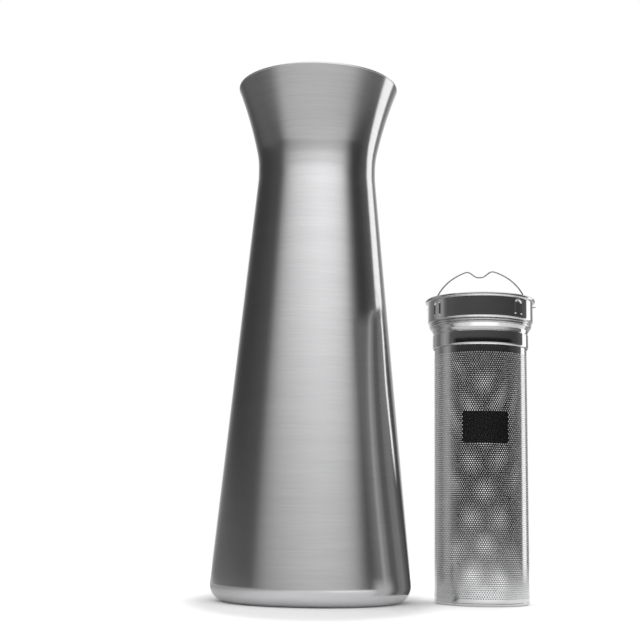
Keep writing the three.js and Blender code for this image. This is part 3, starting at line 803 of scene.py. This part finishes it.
knob_foot = lid_top + LID_CROWN
knob_top = knob_foot + KNOB_HEIGHT
knob_profile = rounded([
    (0, flange_top - NUT_HEIGHT), (STUD_RADIUS, flange_top - NUT_HEIGHT), (STUD_RADIUS, knob_foot),
    (KNOB_NECK + KNOB_EDGE, knob_foot), (KNOB_NECK, knob_foot + KNOB_EDGE),
    (KNOB_NECK, knob_foot + KNOB_HEIGHT / 2 - KNOB_EDGE),
    (KNOB_RADIUS, knob_foot + KNOB_HEIGHT / 2 + KNOB_EDGE), (KNOB_RADIUS, knob_top), (0, knob_top),
], [0, 0.2, 0, 0.3, 2, 3, 1.5, 1.6, 0], steps=8, closed=False)
knob = revolve("stopper_grip", knob_profile, "stopper", pressed_steel, segments=128)
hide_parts("stopper_knob")
print("knob top at", round(knob_top, 1), "mm, rim at", CARAFE_HEIGHT, "mm")

# %% [markdown]
# ## The infuser's collar
# The collar is one deep pressing, polished like a mirror: a rolled rim, a drum with four pressed
# lugs, a stepped bead, and the sleeve that drops into the carafe's neck. The lugs are embossed, so
# they are made here by pushing the drum's own points outwards along an arch, and not by adding
# blocks to it.

# %% Collar sizes
SLEEVE_GAP, COLLAR_WALL, SLEEVE_HEIGHT, SLEEVE_CURL = 0.7, 0.7, 8.3, 1.4
NECK_DEPTH, NECK_BEND, NECK_RISE, NECK_STEP, NECK_INSET = 0.42, 2, 2, 0.6, 0.3
NECK_TIP, NECK_END = (0.1, 0.3), (1.35, 2.6)  # its last bends, from the sleeve and from the drum
BEAD_HEIGHT, BEAD_EDGE, RING_ROUND, RING_GROOVE = 1.8, 0.3, 0.4, 1.9
RING_FROM, RING_TO = math.radians(-75), math.radians(85)
RING_IN, RING_TUCK, RING_LIFT, GROOVE_FOOT = 0.3, 0.02, 0.08, 0.4
RINGS = [(1.3, 1.88), (1.1, 0.6)]  # how far each ring lies inside the drum and below its foot
DRUM_STEP, DRUM_BEND, DRUM_HEIGHT = 2.7, 1.6, 13
RIM_BEAD, RIM_REACH, RIM_CURL = 1, 1.4, math.radians(157)
TUBE_LENGTH, TUBE_LAP, FOOT_BEAD = 144.3, 5.8, 1.7
LUG_WIDTH, LUG_HEIGHT, LUG_RIB, LUG_PROUD, LUG_TOP = 5.4, 8.3, 0.9, 0.8, 0.8
LUG_ANGLE = math.radians(49)
PIVOT_DROP = 4.3
ROW_STEP, INNER_STEP = 0.16, 0.32  # rows of points up the drum's two faces, fine enough for lugs

sleeve_radius = BORE_RADIUS - SLEEVE_GAP
tube_radius = sleeve_radius - COLLAR_WALL - FIT_GAP
drum_radius = sleeve_radius + DRUM_STEP
rim_radius = drum_radius + RIM_REACH
tube_top = FOOT_BEAD + TUBE_LENGTH
sleeve_foot = tube_top - TUBE_LAP
sleeve_top = sleeve_foot + SLEEVE_HEIGHT
neck_top = sleeve_top + NECK_RISE
bead_foot = neck_top + NECK_BEND
drum_foot = bead_foot + BEAD_HEIGHT + BEAD_EDGE
rim_top = drum_foot + DRUM_HEIGHT + RIM_BEAD
rim_centre = (rim_radius - RIM_BEAD, rim_top - RIM_BEAD)
rim_start = -math.acos((drum_radius - rim_centre[0]) / RIM_BEAD)
rim_foot = rim_centre[1] + RIM_BEAD * math.sin(rim_start)
lug_foot = rim_foot - LUG_TOP - LUG_HEIGHT
pivot_height = rim_top - PIVOT_DROP
print("sleeve", round(sleeve_foot, 1), "to", round(sleeve_top, 1), "rim top", round(rim_top, 1))

# %% Collar profile
sleeve_inner = sleeve_radius - COLLAR_WALL
drum_inner = drum_radius - COLLAR_WALL
neck_centre = (sleeve_radius - NECK_INSET + NECK_BEND, neck_top)
bend_centre = (drum_radius - DRUM_BEND, drum_foot + DRUM_BEND)
curl = [(sleeve_inner + COLLAR_WALL * math.cos(t), sleeve_foot + SLEEVE_CURL * (1 + math.sin(t)))
        for t in np.linspace(-math.pi / 2, 0, 9)]
neck_foot = sleeve_top - NECK_STEP
neck = rounded([
    curl[-1], (sleeve_radius, neck_foot), (sleeve_radius - NECK_DEPTH, neck_foot + NECK_STEP * 0.7),
    (sleeve_radius + NECK_TIP[0], neck_top - NECK_TIP[1]),
    (drum_radius - NECK_END[0], drum_foot - NECK_END[1]),
], [0, 0.5, 0.4, 1.2, 0], closed=False)
bead = []
for inwards, drop in RINGS:
    r, z = drum_radius - inwards, drum_foot - drop
    bead += [(r - RING_IN, z - RING_ROUND - RING_TUCK), *arc((r, z), RING_ROUND, RING_FROM, RING_TO, 8),
             (drum_radius - RING_GROOVE, z + RING_ROUND + RING_LIFT),
             (drum_radius - RING_GROOVE, z + RING_ROUND + GROOVE_FOOT)]
bead = bead[:-2]
groove = [(bend_centre[0] + 0.02, drum_foot - 0.12)]
bend = arc(bend_centre, DRUM_BEND, math.radians(-88), 0, 12)
lower = curl[:-1] + neck + bead + groove + bend
drum_rows = [(drum_radius, z) for z in np.arange(bend_centre[1] + 0.1, rim_foot - 0.6, ROW_STEP)]
rim = arc(rim_centre, RIM_BEAD, rim_start, RIM_CURL, 20)
join = [(drum_radius, rim_foot - 0.35), (drum_radius + 0.02, rim_foot - 0.12)]
inner_rows = [(drum_inner, z) for z in np.arange(rim_foot - 0.8, bend_centre[1] + 0.1, -INNER_STEP)]
bead_inner = bend_centre[0] - COLLAR_WALL
neck_start = math.acos((bead_inner - neck_centre[0]) / (NECK_BEND + COLLAR_WALL))
upper = [*arc(bend_centre, DRUM_BEND - COLLAR_WALL, 0, -math.pi / 2, 5),
         (bead_inner, drum_foot + COLLAR_WALL),
         *arc(neck_centre, NECK_BEND + COLLAR_WALL, neck_start, math.pi, 6),
         (sleeve_inner, sleeve_top), (sleeve_inner, sleeve_foot + 0.1)]
collar_profile = lower + drum_rows + join + rim + [(drum_inner, rim_foot - 0.1)] + inner_rows + upper
print("collar profile:", len(collar_profile), "points")

# %% Embossing the lugs
LUG_MIDDLES = (LUG_ANGLE, -LUG_ANGLE, math.pi - LUG_ANGLE, LUG_ANGLE - math.pi)
LUG_SOFT = 0.78  # how far a ridge slopes out to each side, as a share of its rib
COARSE_STEPS, FINE_STEPS = 160, 52


def turned_from(angle, middle):
    """How far one angle lies from another, the short way round."""
    return (angle - middle + math.pi) % (2 * math.pi) - math.pi


def arch_distance(across, up):
    """How far a point of the drum's face lies from the middle line of an arch that is open below."""
    leg = (LUG_WIDTH - LUG_RIB) / 2
    shoulder = LUG_HEIGHT - LUG_WIDTH / 2
    if up > shoulder:
        return abs(math.hypot(across, up - shoulder) - leg)
    return math.hypot(abs(across) - leg, max(LUG_RIB / 2 - up, 0))


def lug_height(angle, z):
    """How far the drum stands out at one place: a smooth ridge along each arch."""
    most = 0.0
    for middle in LUG_MIDDLES:
        across = turned_from(angle, middle) * drum_radius
        if abs(across) > LUG_WIDTH:
            continue
        reach = arch_distance(across, z - lug_foot) / (LUG_RIB * LUG_SOFT)
        if reach < 1:
            most = max(most, LUG_PROUD * (0.5 + 0.5 * math.cos(math.pi * reach)))
    return most


def collar_angles():
    """Fine steps over the lugs and coarse ones between them, measured from the front."""
    fine_half = LUG_WIDTH / drum_radius
    angles = set(np.round(np.linspace(-math.pi, math.pi, COARSE_STEPS, endpoint=False), 6))
    for middle in LUG_MIDDLES:
        angles = {a for a in angles if abs(a - middle) > fine_half}
        angles |= set(np.round(np.linspace(middle - fine_half, middle + fine_half, FINE_STEPS), 6))
    return sorted(angles)


angles = collar_angles()
points = []
for r, z in collar_profile:
    on_drum = min(abs(r - drum_radius), abs(r - drum_inner)) < 0.01
    for a in angles:
        reach = r + (lug_height(a, z) if on_drum else 0)
        points.append((reach * math.sin(a), -reach * math.cos(a), z))
faces = ring_faces(equal_rings(len(collar_profile), len(angles)), True)
collar = make_piece("infuser_collar_pressing", points, faces, "infuser", pressed_steel, infuser_place, 50)
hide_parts("infuser_collar")
print("collar:", len(collar.data.polygons), "faces, lugs stand", LUG_PROUD, "mm proud")

# %% [markdown]
# ## The perforated tube
# The tube is thin sheet with some fourteen thousand small holes in staggered rows. It could be a
# transparency pattern, but then light would not catch the edge of a hole, and the far wall would
# not show through the near one. So the holes are cut in the mesh. Each is a hexagon, and each is
# tied to its six neighbours by strips, with a triangle where three holes meet. Holes that fall in
# the plain patch are filled, which gives the patch its stepped sides.
#
# A punch draws the sheet in a little round each hole. Modelling that would take far more points,
# so both round faces of the sheet get normals of their own: the outer ones follow the cylinder and
# lean slightly towards the nearest hole, the inner ones only follow the cylinder. The walls of the
# holes stay flat and crisp.

# %% Tube sizes
HOLES_ROUND = 124
HOLE_ROWS = 117
HOLE_SHARE = 0.52  # width of a hole as a share of the pitch
SHEET = 0.34
HOLES_FOOT = 3.7
TUBE_BANDS = 3
PATCH_MIDDLE = math.radians(10.4)
PATCH_HALF = math.radians(28.0)
PATCH_LOW, PATCH_HIGH = 86.0, 103.2

pitch = 2 * math.pi * tube_radius / HOLES_ROUND
row_step = pitch * math.sqrt(3) / 2
hole_reach = pitch * HOLE_SHARE / math.sqrt(3)


def row_height(row):
    return HOLES_FOOT + hole_reach + row * row_step


print("pitch", round(pitch, 3), "mm,", HOLES_ROUND * HOLE_ROWS, "places for holes")

# %% The normals of punched sheet
DISH = 0.045  # the punch draws the sheet in a little round each hole


def set_normals(mesh, normals, flat_from, place):
    """Gives the faces before flat_from the normals of their points. The others stay flat."""
    corner_points = np.empty(len(mesh.loops), int)
    mesh.loops.foreach_get("vertex_index", corner_points)
    unit = normals / np.linalg.norm(normals, axis=1)[:, None]
    per_corner = unit[corner_points] @ np.array(place.to_3x3()).T
    sizes = np.empty(len(mesh.polygons), int)
    mesh.polygons.foreach_get("loop_total", sizes)
    own = np.empty(len(mesh.polygons) * 3)
    mesh.polygons.foreach_get("normal", own)
    first = sizes[:flat_from].sum()
    per_corner[first:] = np.repeat(own.reshape(-1, 3)[flat_from:], sizes[flat_from:], axis=0)
    mesh.normals_split_custom_set(per_corner.tolist())


print("the sheet leans in by", round(math.degrees(math.atan(DISH)), 1), "degrees at a hole")

# %% One band of the tube, laid flat
def is_plain(turn, z):
    """True in the patch that is left without holes. turn is measured from the camera's side."""
    return abs(turned_from(turn, PATCH_MIDDLE)) < PATCH_HALF and PATCH_LOW < z < PATCH_HIGH


def flat_band(first_row, last_row, foot, top):
    """Gives the band's points, how far each leans to its hole, the faces, the open holes and both
    end rings. foot and top are the heights of a plain margin, or None where another band follows."""
    n = HOLES_ROUND
    corner_turn = np.radians(30 + 60 * np.arange(6))
    flat, dish, quads, tris, caps, holes = [], [], [], [], [], []

    def hole(row, i):
        return ((row - first_row) * n + i % n) * 6

    for row in range(first_row, last_row):
        for i in range(n):
            u = (i + 0.5 * (row % 2)) * pitch
            z = row_height(row)
            plain = is_plain(u / tube_radius - math.pi, z)
            for t in corner_turn:
                flat.append((u + hole_reach * math.cos(t), z + hole_reach * math.sin(t)))
                dish.append((0, 0) if plain else (-DISH * math.cos(t), -DISH * math.sin(t)))
            a = hole(row, i)
            (caps if plain else holes).append([a + k for k in range(6)])
            b = hole(row, i + 1)
            quads.append([a + 5, b + 3, b + 2, a])
            if row + 1 < last_row:
                c = hole(row + 1, i + row % 2)
                d = hole(row + 1, i + row % 2 - 1)
                quads.append([a, c + 4, c + 3, a + 1])
                quads.append([a + 1, d + 5, d + 4, a + 2])
                tris.append([a, b + 2, c + 4])
                tris.append([a + 1, c + 3, d + 5])

    def add_ring(z, shift):
        start = len(flat)
        flat.extend(((i / 2 + shift) * pitch, z) for i in range(2 * n))
        dish.extend([(0, 0)] * (2 * n))
        return start

    low_shift, high_shift = 0.5 * (first_row % 2), 0.5 * ((last_row - 1) % 2)
    low = add_ring(row_height(first_row) - row_step / 2, low_shift)
    high = add_ring(row_height(last_row - 1) + row_step / 2, high_shift)
    for i in range(n):
        a, b = hole(first_row, i), hole(first_row, i + 1)
        l0, m, l1 = low + 2 * i, low + 2 * i + 1, low + (2 * i + 2) % (2 * n)
        quads.append([l0, m, a + 5, a + 4])
        tris.append([m, b + 3, a + 5])
        quads.append([m, l1, b + 4, b + 3])
        a, b = hole(last_row - 1, i), hole(last_row - 1, i + 1)
        h0, m, h1 = high + 2 * i, high + 2 * i + 1, high + (2 * i + 2) % (2 * n)
        quads.append([a + 1, a, m, h0])
        tris.append([a, b + 2, m])
        quads.append([b + 2, b + 1, h1, m])
    ends = []
    for z, edge, shift in ((foot, low, low_shift), (top, high, high_shift)):
        ring = edge
        if z is not None:
            ring = add_ring(z, shift)
            for i in range(2 * n):
                j = (i + 1) % (2 * n)
                quads.append([ring + i, ring + j, edge + j, edge + i] if edge == low
                             else [edge + i, edge + j, ring + j, ring + i])
        ends.append(ring)
    return np.array(flat), np.array(dish), quads + tris + caps, holes, ends


print("a hole is", round(hole_reach * math.sqrt(3), 2), "mm wide")

# %% One band of the tube, rolled up
def tube_band(name, first_row, last_row, foot, top):
    n = HOLES_ROUND
    sheet, tilt, outer, holes, ends = flat_band(first_row, last_row, foot, top)
    turn = sheet[:, 0] / tube_radius - math.pi
    layers = [np.stack([r * np.sin(turn), -r * np.cos(turn), sheet[:, 1]], 1)
              for r in (tube_radius, tube_radius - SHEET)]
    outward = np.stack([np.sin(turn), -np.cos(turn), 0 * turn], 1)
    onward = np.stack([np.cos(turn), np.sin(turn), 0 * turn], 1)
    normals = [outward + onward * tilt[:, :1] + np.array([0, 0, 1]) * tilt[:, 1:], -outward]
    size = len(sheet)
    faces = outer + [[v + size for v in face[::-1]] for face in outer]
    for hole in holes:
        for k in range(6):
            a, b = hole[k], hole[(k + 1) % 6]
            faces.append([a, b, b + size, a + size])
    for end in ends:  # the ends have their own points, so that their edges stay crisp
        start = sum(len(layer) for layer in layers)
        rim = slice(end, end + 2 * n)
        layers += [layers[0][rim], layers[1][rim]]
        normals += [outward[rim], outward[rim]]
        for i in range(2 * n):
            j = (i + 1) % (2 * n)
            face = [start + i, start + j, start + j + 2 * n, start + i + 2 * n]
            faces.append(face if end == ends[1] else face[::-1])
    piece = make_piece(name, np.concatenate(layers), faces, "infuser", mesh_steel, infuser_place, 50)
    set_normals(piece.data, np.concatenate(normals), 2 * len(outer), infuser_place)
    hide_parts("infuser_tube")
    print(name, len(holes), "holes,", sum(len(f) - 2 for f in faces), "triangles")

# %% The three bands
edges = [round(HOLE_ROWS * k / TUBE_BANDS) for k in range(TUBE_BANDS + 1)]
for k in range(TUBE_BANDS):
    tube_band(f"infuser_tube_{k + 1}", edges[k], edges[k + 1],
              FOOT_BEAD if k == 0 else None, tube_top if k == TUBE_BANDS - 1 else None)

# %% [markdown]
# ## The infuser's foot
# A shallow pressed cup closes the tube. Its edge is a round bead that the infuser stands on, and
# its skirt runs up inside the tube.

# %% Infuser base
FOOT_INSET, FOOT_RISE, FOOT_SKIRT, FOOT_WALL = 3.4, 2.6, 4.3, 0.6
TUBE_WALL = 0.5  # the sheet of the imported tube, which the skirt clears
skirt_radius = tube_radius - TUBE_WALL - FIT_GAP
foot_outer = tube_radius - FOOT_INSET
base_profile = rounded([
    (0, FOOT_RISE), (foot_outer - FOOT_RISE, FOOT_RISE - FOOT_WALL), (foot_outer, 0),
    (tube_radius - FOOT_WALL, 0), (tube_radius, FOOT_WALL), (tube_radius, FOOT_BEAD),
    (skirt_radius, FOOT_BEAD), (skirt_radius, FOOT_BEAD + FOOT_SKIRT),
    (skirt_radius - FOOT_WALL, FOOT_BEAD + FOOT_SKIRT), (skirt_radius - FOOT_WALL, FOOT_BEAD),
    (foot_outer + FOOT_WALL, FOOT_WALL), (foot_outer - FOOT_RISE + FOOT_WALL, FOOT_RISE),
    (0, FOOT_RISE + FOOT_WALL),
], [0, 1, 1, 1.2, 1.2, 0.3, 0.1, 0.2, 0.2, 0.5, 0.5, 1, 0], steps=8, closed=False)
foot = revolve("infuser_foot", base_profile, "infuser", pressed_steel, place=infuser_place)
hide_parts("infuser_base")
print("infuser stands on a bead of radius", round(tube_radius, 1), "mm")

# %% [markdown]
# ## The bail
# The bail is one drawn wire: a stub through the drum's wall on each side, an arm, a round arc and a
# double crest whose dip fits a finger. A smooth curve runs through the same points as the part's,
# and a ring of points is carried along it.

# %% Bail
WIRE_RADIUS, STUB_LENGTH, SHORT_STUB = 0.4, 1.7, 0.4
BAIL_ARC, BAIL_DROP, ARM_LEAN = 27.4, 5.2, math.radians(25)
CREST_SPREAD, CREST_TURN, TURN_DROP = 14.8, 1.5, 0.3
VALLEY_DEPTH, VALLEY_FLOOR = 3.2, 4.2
WIRE_SIDES, WIRE_STEPS, CUT_SHARE = 16, 14, 0.6  # the cut ends are a little thinner


def bail_points():
    elbow = (BAIL_ARC - BAIL_DROP * math.sin(ARM_LEAN)) / math.cos(ARM_LEAN)
    crest_angle = math.acos(CREST_SPREAD / 2 / BAIL_ARC)
    arm = [(elbow + 2 * WIRE_RADIUS, 0), (elbow - WIRE_RADIUS, 2 * WIRE_RADIUS),
           *arc((0, -BAIL_DROP), BAIL_ARC, ARM_LEAN, crest_angle, 4)]
    crest_x, crest_z = arm[-1]
    arm.append((crest_x - CREST_TURN, crest_z - TURN_DROP))
    arm.append((VALLEY_FLOOR / 2, crest_z - VALLEY_DEPTH + TURN_DROP))
    line = [(drum_radius + STUB_LENGTH, 0), *arm, (0, crest_z - VALLEY_DEPTH),
            *[(-x, z) for x, z in arm[::-1]], (-drum_radius - SHORT_STUB, 0)]
    return [Vector((x, 0, z)) for x, z in line]


SPANS = (((0, 1), (1, 2), (2, 3)), ((0, 2), (1, 3)), ((1, 2),))


def smooth_path(knots, steps):
    """A centripetal Catmull-Rom curve through the knots."""
    ends = [2 * knots[0] - knots[1], *knots, 2 * knots[-1] - knots[-2]]
    path = []
    for four in zip(ends, ends[1:], ends[2:], ends[3:]):
        t = [0.0]
        for a, b in zip(four, four[1:]):
            t.append(t[-1] + (b - a).length ** 0.5)
        for s in np.linspace(t[1], t[2], steps, endpoint=False):
            blend = four
            for spans in SPANS:
                blend = [a.lerp(b, (s - t[i]) / (t[j] - t[i]))
                         for a, b, (i, j) in zip(blend, blend[1:], spans)]
            path += blend
    return path + [knots[-1]]


path = smooth_path(bail_points(), WIRE_STEPS)
points = []
side = Vector((0, 1, 0))
for i, spot in enumerate(path):
    along = (path[min(i + 1, len(path) - 1)] - path[max(i - 1, 0)]).normalized()
    outward = along.cross(side)
    share = CUT_SHARE if i in (0, len(path) - 1) else 1.0
    for t in np.arange(WIRE_SIDES) * (2 * math.pi / WIRE_SIDES):
        points.append(spot + (side * math.cos(t) + outward * math.sin(t)) * WIRE_RADIUS * share)
rows = equal_rings(len(path), WIRE_SIDES)
faces = ring_faces(rows, False) + [rows[0][::-1], rows[-1]]
bail_place = infuser_place @ Matrix.Translation((0, 0, pivot_height * MM))
bail = make_piece("infuser_wire", points, faces, "bail", wire_steel, bail_place, 60)
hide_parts("infuser_bail")
print("wire:", round(sum((b - a).length for a, b in zip(path, path[1:]))), "mm long")

# %% [markdown]
# ## Pieces that stay as they were packed
# The glass seal, the getter and the nut are sealed inside or covered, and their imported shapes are
# right. They only get their own materials.

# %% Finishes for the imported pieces
sealed = {"seal_bead": seal_glass, "getter_capsule": getter_metal, "stopper_nut": plate_steel}
for node, material in sealed.items():
    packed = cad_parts[node]
    packed.data.materials.clear()
    packed.data.materials.append(material)
print("own finishes for", ", ".join(sealed))

# %% [markdown]
# ## The front light of the carafe
# A tall soft box stands behind the camera. The infuser was lit without it, which leaves its drum
# and patch dark, so the box is linked to the carafe's pieces and nothing else. It is a sheet bent
# round the carafe, whose brightness falls off to the sides and grows with height. It stands far
# off, so that the whole wall sees it alike. The two level edges in the neck come from the short
# upright band of the waist, which mirrors the box as a flat glass would.

# %% Front light
LIGHT_RADIUS = 6000
LIGHT_FOOT, LIGHT_TOP = -300, 9000
LIGHT_SPAN, LIGHT_COLUMNS = 84, 85
LIGHT_MOST = 1.25
LIGHT_SIDES = [(-80, 0.0), (-72, 0.05), (-64, 0.30), (-52, 0.58), (-38, 0.74), (-20, 0.86), (0, 0.97),
               (16, 1.0), (32, 0.94), (44, 0.84), (54, 0.62), (62, 0.3), (70, 0.06), (78, 0.0)]
LIGHT_RISE = [(-300, 0.0), (-200, 0.0), (-20, 0.60), (1090, 0.62), (1300, 0.66), (1970, 0.84),
              (2365, 0.96), (3120, 1.17), (4000, LIGHT_MOST), (9000, LIGHT_MOST)]


def bent_sheet(name, radius, foot, top, start, end, columns, material):
    """An upright sheet bent round the carafe's axis, which only mirror images show."""
    angles = np.radians(np.linspace(start, end, columns))
    points = [(radius * math.sin(a), -radius * math.cos(a), z) for z in (foot, top) for a in angles]
    faces = [[i, i + 1, i + 1 + columns, i + columns] for i in range(columns - 1)]
    sheet = stage_piece(name, points, faces, material)
    sheet.visible_camera = sheet.visible_diffuse = sheet.visible_shadow = False
    return sheet


glow, tree = new_material("front_light")
angle, height = round_axis(object_place(tree))
sideways = table_ramp(angle / math.pi + 0.5, LIGHT_SIDES, -90, 90)
rise = (height - LIGHT_FOOT * MM) / ((LIGHT_TOP - LIGHT_FOOT) * MM)
upwards = table_ramp(rise, [(z, light / LIGHT_MOST) for z, light in LIGHT_RISE], LIGHT_FOOT, LIGHT_TOP)
emission = output(tree, "ShaderNodeEmission", {"Strength": sideways * upwards * LIGHT_MOST})
clear = output(tree, "ShaderNodeBsdfTransparent")
added = output(tree, "ShaderNodeAddShader", {0: emission, 1: clear})
add_node(tree, "ShaderNodeOutputMaterial", {"Surface": added})
front_light = bent_sheet("front_light", LIGHT_RADIUS, LIGHT_FOOT, LIGHT_TOP, -LIGHT_SPAN, LIGHT_SPAN,
                         LIGHT_COLUMNS, glow)

lit = bpy.data.collections.new("lit_by_front_light")
for piece in (shell, flask, plate, body, seal, lid, knob):
    lit.objects.link(piece)
front_light.light_linking.receiver_collection = lit

# %% [markdown]
# ## A glowing card between the two, with painted reflections
# Carafe and infuser stand so close that each would show the other. A curved card between them
# prevents that, and glows with painted reflections in their place. Towards the carafe it carries
# soft upright streaks that stand in for the infuser's mirror image, a painted floor reflection low
# in its near corner and one bright line, a painted highlight where the strip light would show.
# Towards the infuser it carries lighter and darker bands, a painted reflection. It is a single
# sheet with two faces, and only mirror images show it. The carafe's walls are left out of all
# mirror images, so that the infuser's left side shows the card alone.

# %% Glowing card: the painted reflections it shows
CARD_RADIUS, CARD_TOP = 61, 192
CARD_FROM, CARD_TO = 36, 104  # degrees round the carafe's axis from the camera's side
CARD_COLUMNS = 35
# Painted reflection towards the carafe: upright streaks that stand in for the infuser's mirror image
STREAKS = [(36, 0.17), (44, 0.17), (48, 0.22), (51.5, 0.42), (55, 0.28), (60, 0.13), (64, 0.13),
           (69, 0.22), (76, 0.24), (82, 0.13), (92, 0.07), (98, 0.07), (104, 0.15)]
STREAK_LEAN, LEAN_HEIGHT = 11.0, 152.0  # by how many degrees they lean over at that height
# A painted floor reflection, low in the card's near corner
CORNER_LIGHT, CORNER_TOP, CORNER_SIDE = 0.56, (17.0, 9.0), (64.0, 50.0)
# Painted reflection towards the infuser: lighter and darker bands, lighter near the foot
BANDS = [(36, 0.08), (66, 0.08), (73, 0.14), (77, 0.30), (80, 0.36), (83, 0.30), (87, 0.17),
         (91, 0.22), (96, 0.34), (104, 0.40)]
BAND_FOOT_LIGHT, BAND_FOOT = 0.42, (16.0, 6.0)
# A painted highlight: one bright line where the strip light would show
LINE_PLACE, LINE_HALF, LINE_FEATHER, LINE_LIGHT = 85.6, 1.7, 0.7, 1.7
LINE_FOOT, LINE_BEND, LINE_SHIFT = (62.0, 88.0), (112.0, 168.0), 7.0
TOP_SLANT, SLANT_MIDDLE = 0.15, 60.0  # how many mm lower the card ends for each degree
TO_CARAFE_TOP, TO_CARAFE_LEFT, TO_CARAFE_RIGHT = (166.0, 154.0), (38.0, 46.0), (104.0, 98.0)
TO_INFUSER_TOP, TO_INFUSER_LEFT = (191.0, 182.0), (69.0, 75.0)
print("card:", len(STREAKS), "stops towards the carafe,", len(BANDS), "towards the infuser")

# %% Glowing card: its painted reflections
card_paint, tree = new_material("card_paint")
azimuth, height = round_axis(object_place(tree))
angle = math_node(tree, "DEGREES", azimuth)
height = height / MM


def across_card(value, table):
    return table_ramp((value - CARD_FROM) / (CARD_TO - CARD_FROM), table, CARD_FROM, CARD_TO, "EASE")


# Painted reflections: streaks, a floor reflection and a highlight line towards the carafe, bands towards
# the infuser
lean = (height / LEAN_HEIGHT) ** 4.0 * STREAK_LEAN
in_corner = smooth_step(height, *CORNER_TOP) * smooth_step(angle, *CORNER_SIDE)
streaks = mix_grey(in_corner, across_card(angle - lean, STREAKS), CORNER_LIGHT)
off_line = abs(angle - (smooth_step(height, *LINE_BEND) * LINE_SHIFT + LINE_PLACE))
on_line = smooth_step(off_line, LINE_HALF + LINE_FEATHER, LINE_HALF - LINE_FEATHER)
to_carafe = mix_grey(on_line * smooth_step(height, *LINE_FOOT), streaks, LINE_LIGHT)
to_infuser = mix_grey(smooth_step(height, *BAND_FOOT), across_card(angle, BANDS), BAND_FOOT_LIGHT)
slanted = height - (angle - SLANT_MIDDLE) * TOP_SLANT
between = smooth_step(angle, *TO_CARAFE_LEFT) * smooth_step(angle, *TO_CARAFE_RIGHT)
carafe_cover = smooth_step(slanted, *TO_CARAFE_TOP) * between
infuser_cover = smooth_step(height, *TO_INFUSER_TOP) * smooth_step(angle, *TO_INFUSER_LEFT)
facing_carafe = output(tree, "ShaderNodeNewGeometry", take="Backfacing")
light = mix_grey(facing_carafe, to_infuser, to_carafe)
emission = output(tree, "ShaderNodeEmission", {"Strength": light})
clear = output(tree, "ShaderNodeBsdfTransparent")
cover = mix_grey(facing_carafe, infuser_cover, carafe_cover)
painted = output(tree, "ShaderNodeMixShader", {0: cover, 1: clear, 2: emission})
add_node(tree, "ShaderNodeOutputMaterial", {"Surface": painted})
card_paint.cycles.emission_sampling = "NONE"

card = bent_sheet("painted_reflection_card", CARD_RADIUS, 0, CARD_TOP, CARD_FROM, CARD_TO, CARD_COLUMNS,
                  card_paint)
card.visible_transmission = False
for piece in (shell, flask):
    piece.visible_glossy = False
print("card", CARD_TO - CARD_FROM, "degrees wide and", CARD_TOP, "mm high")
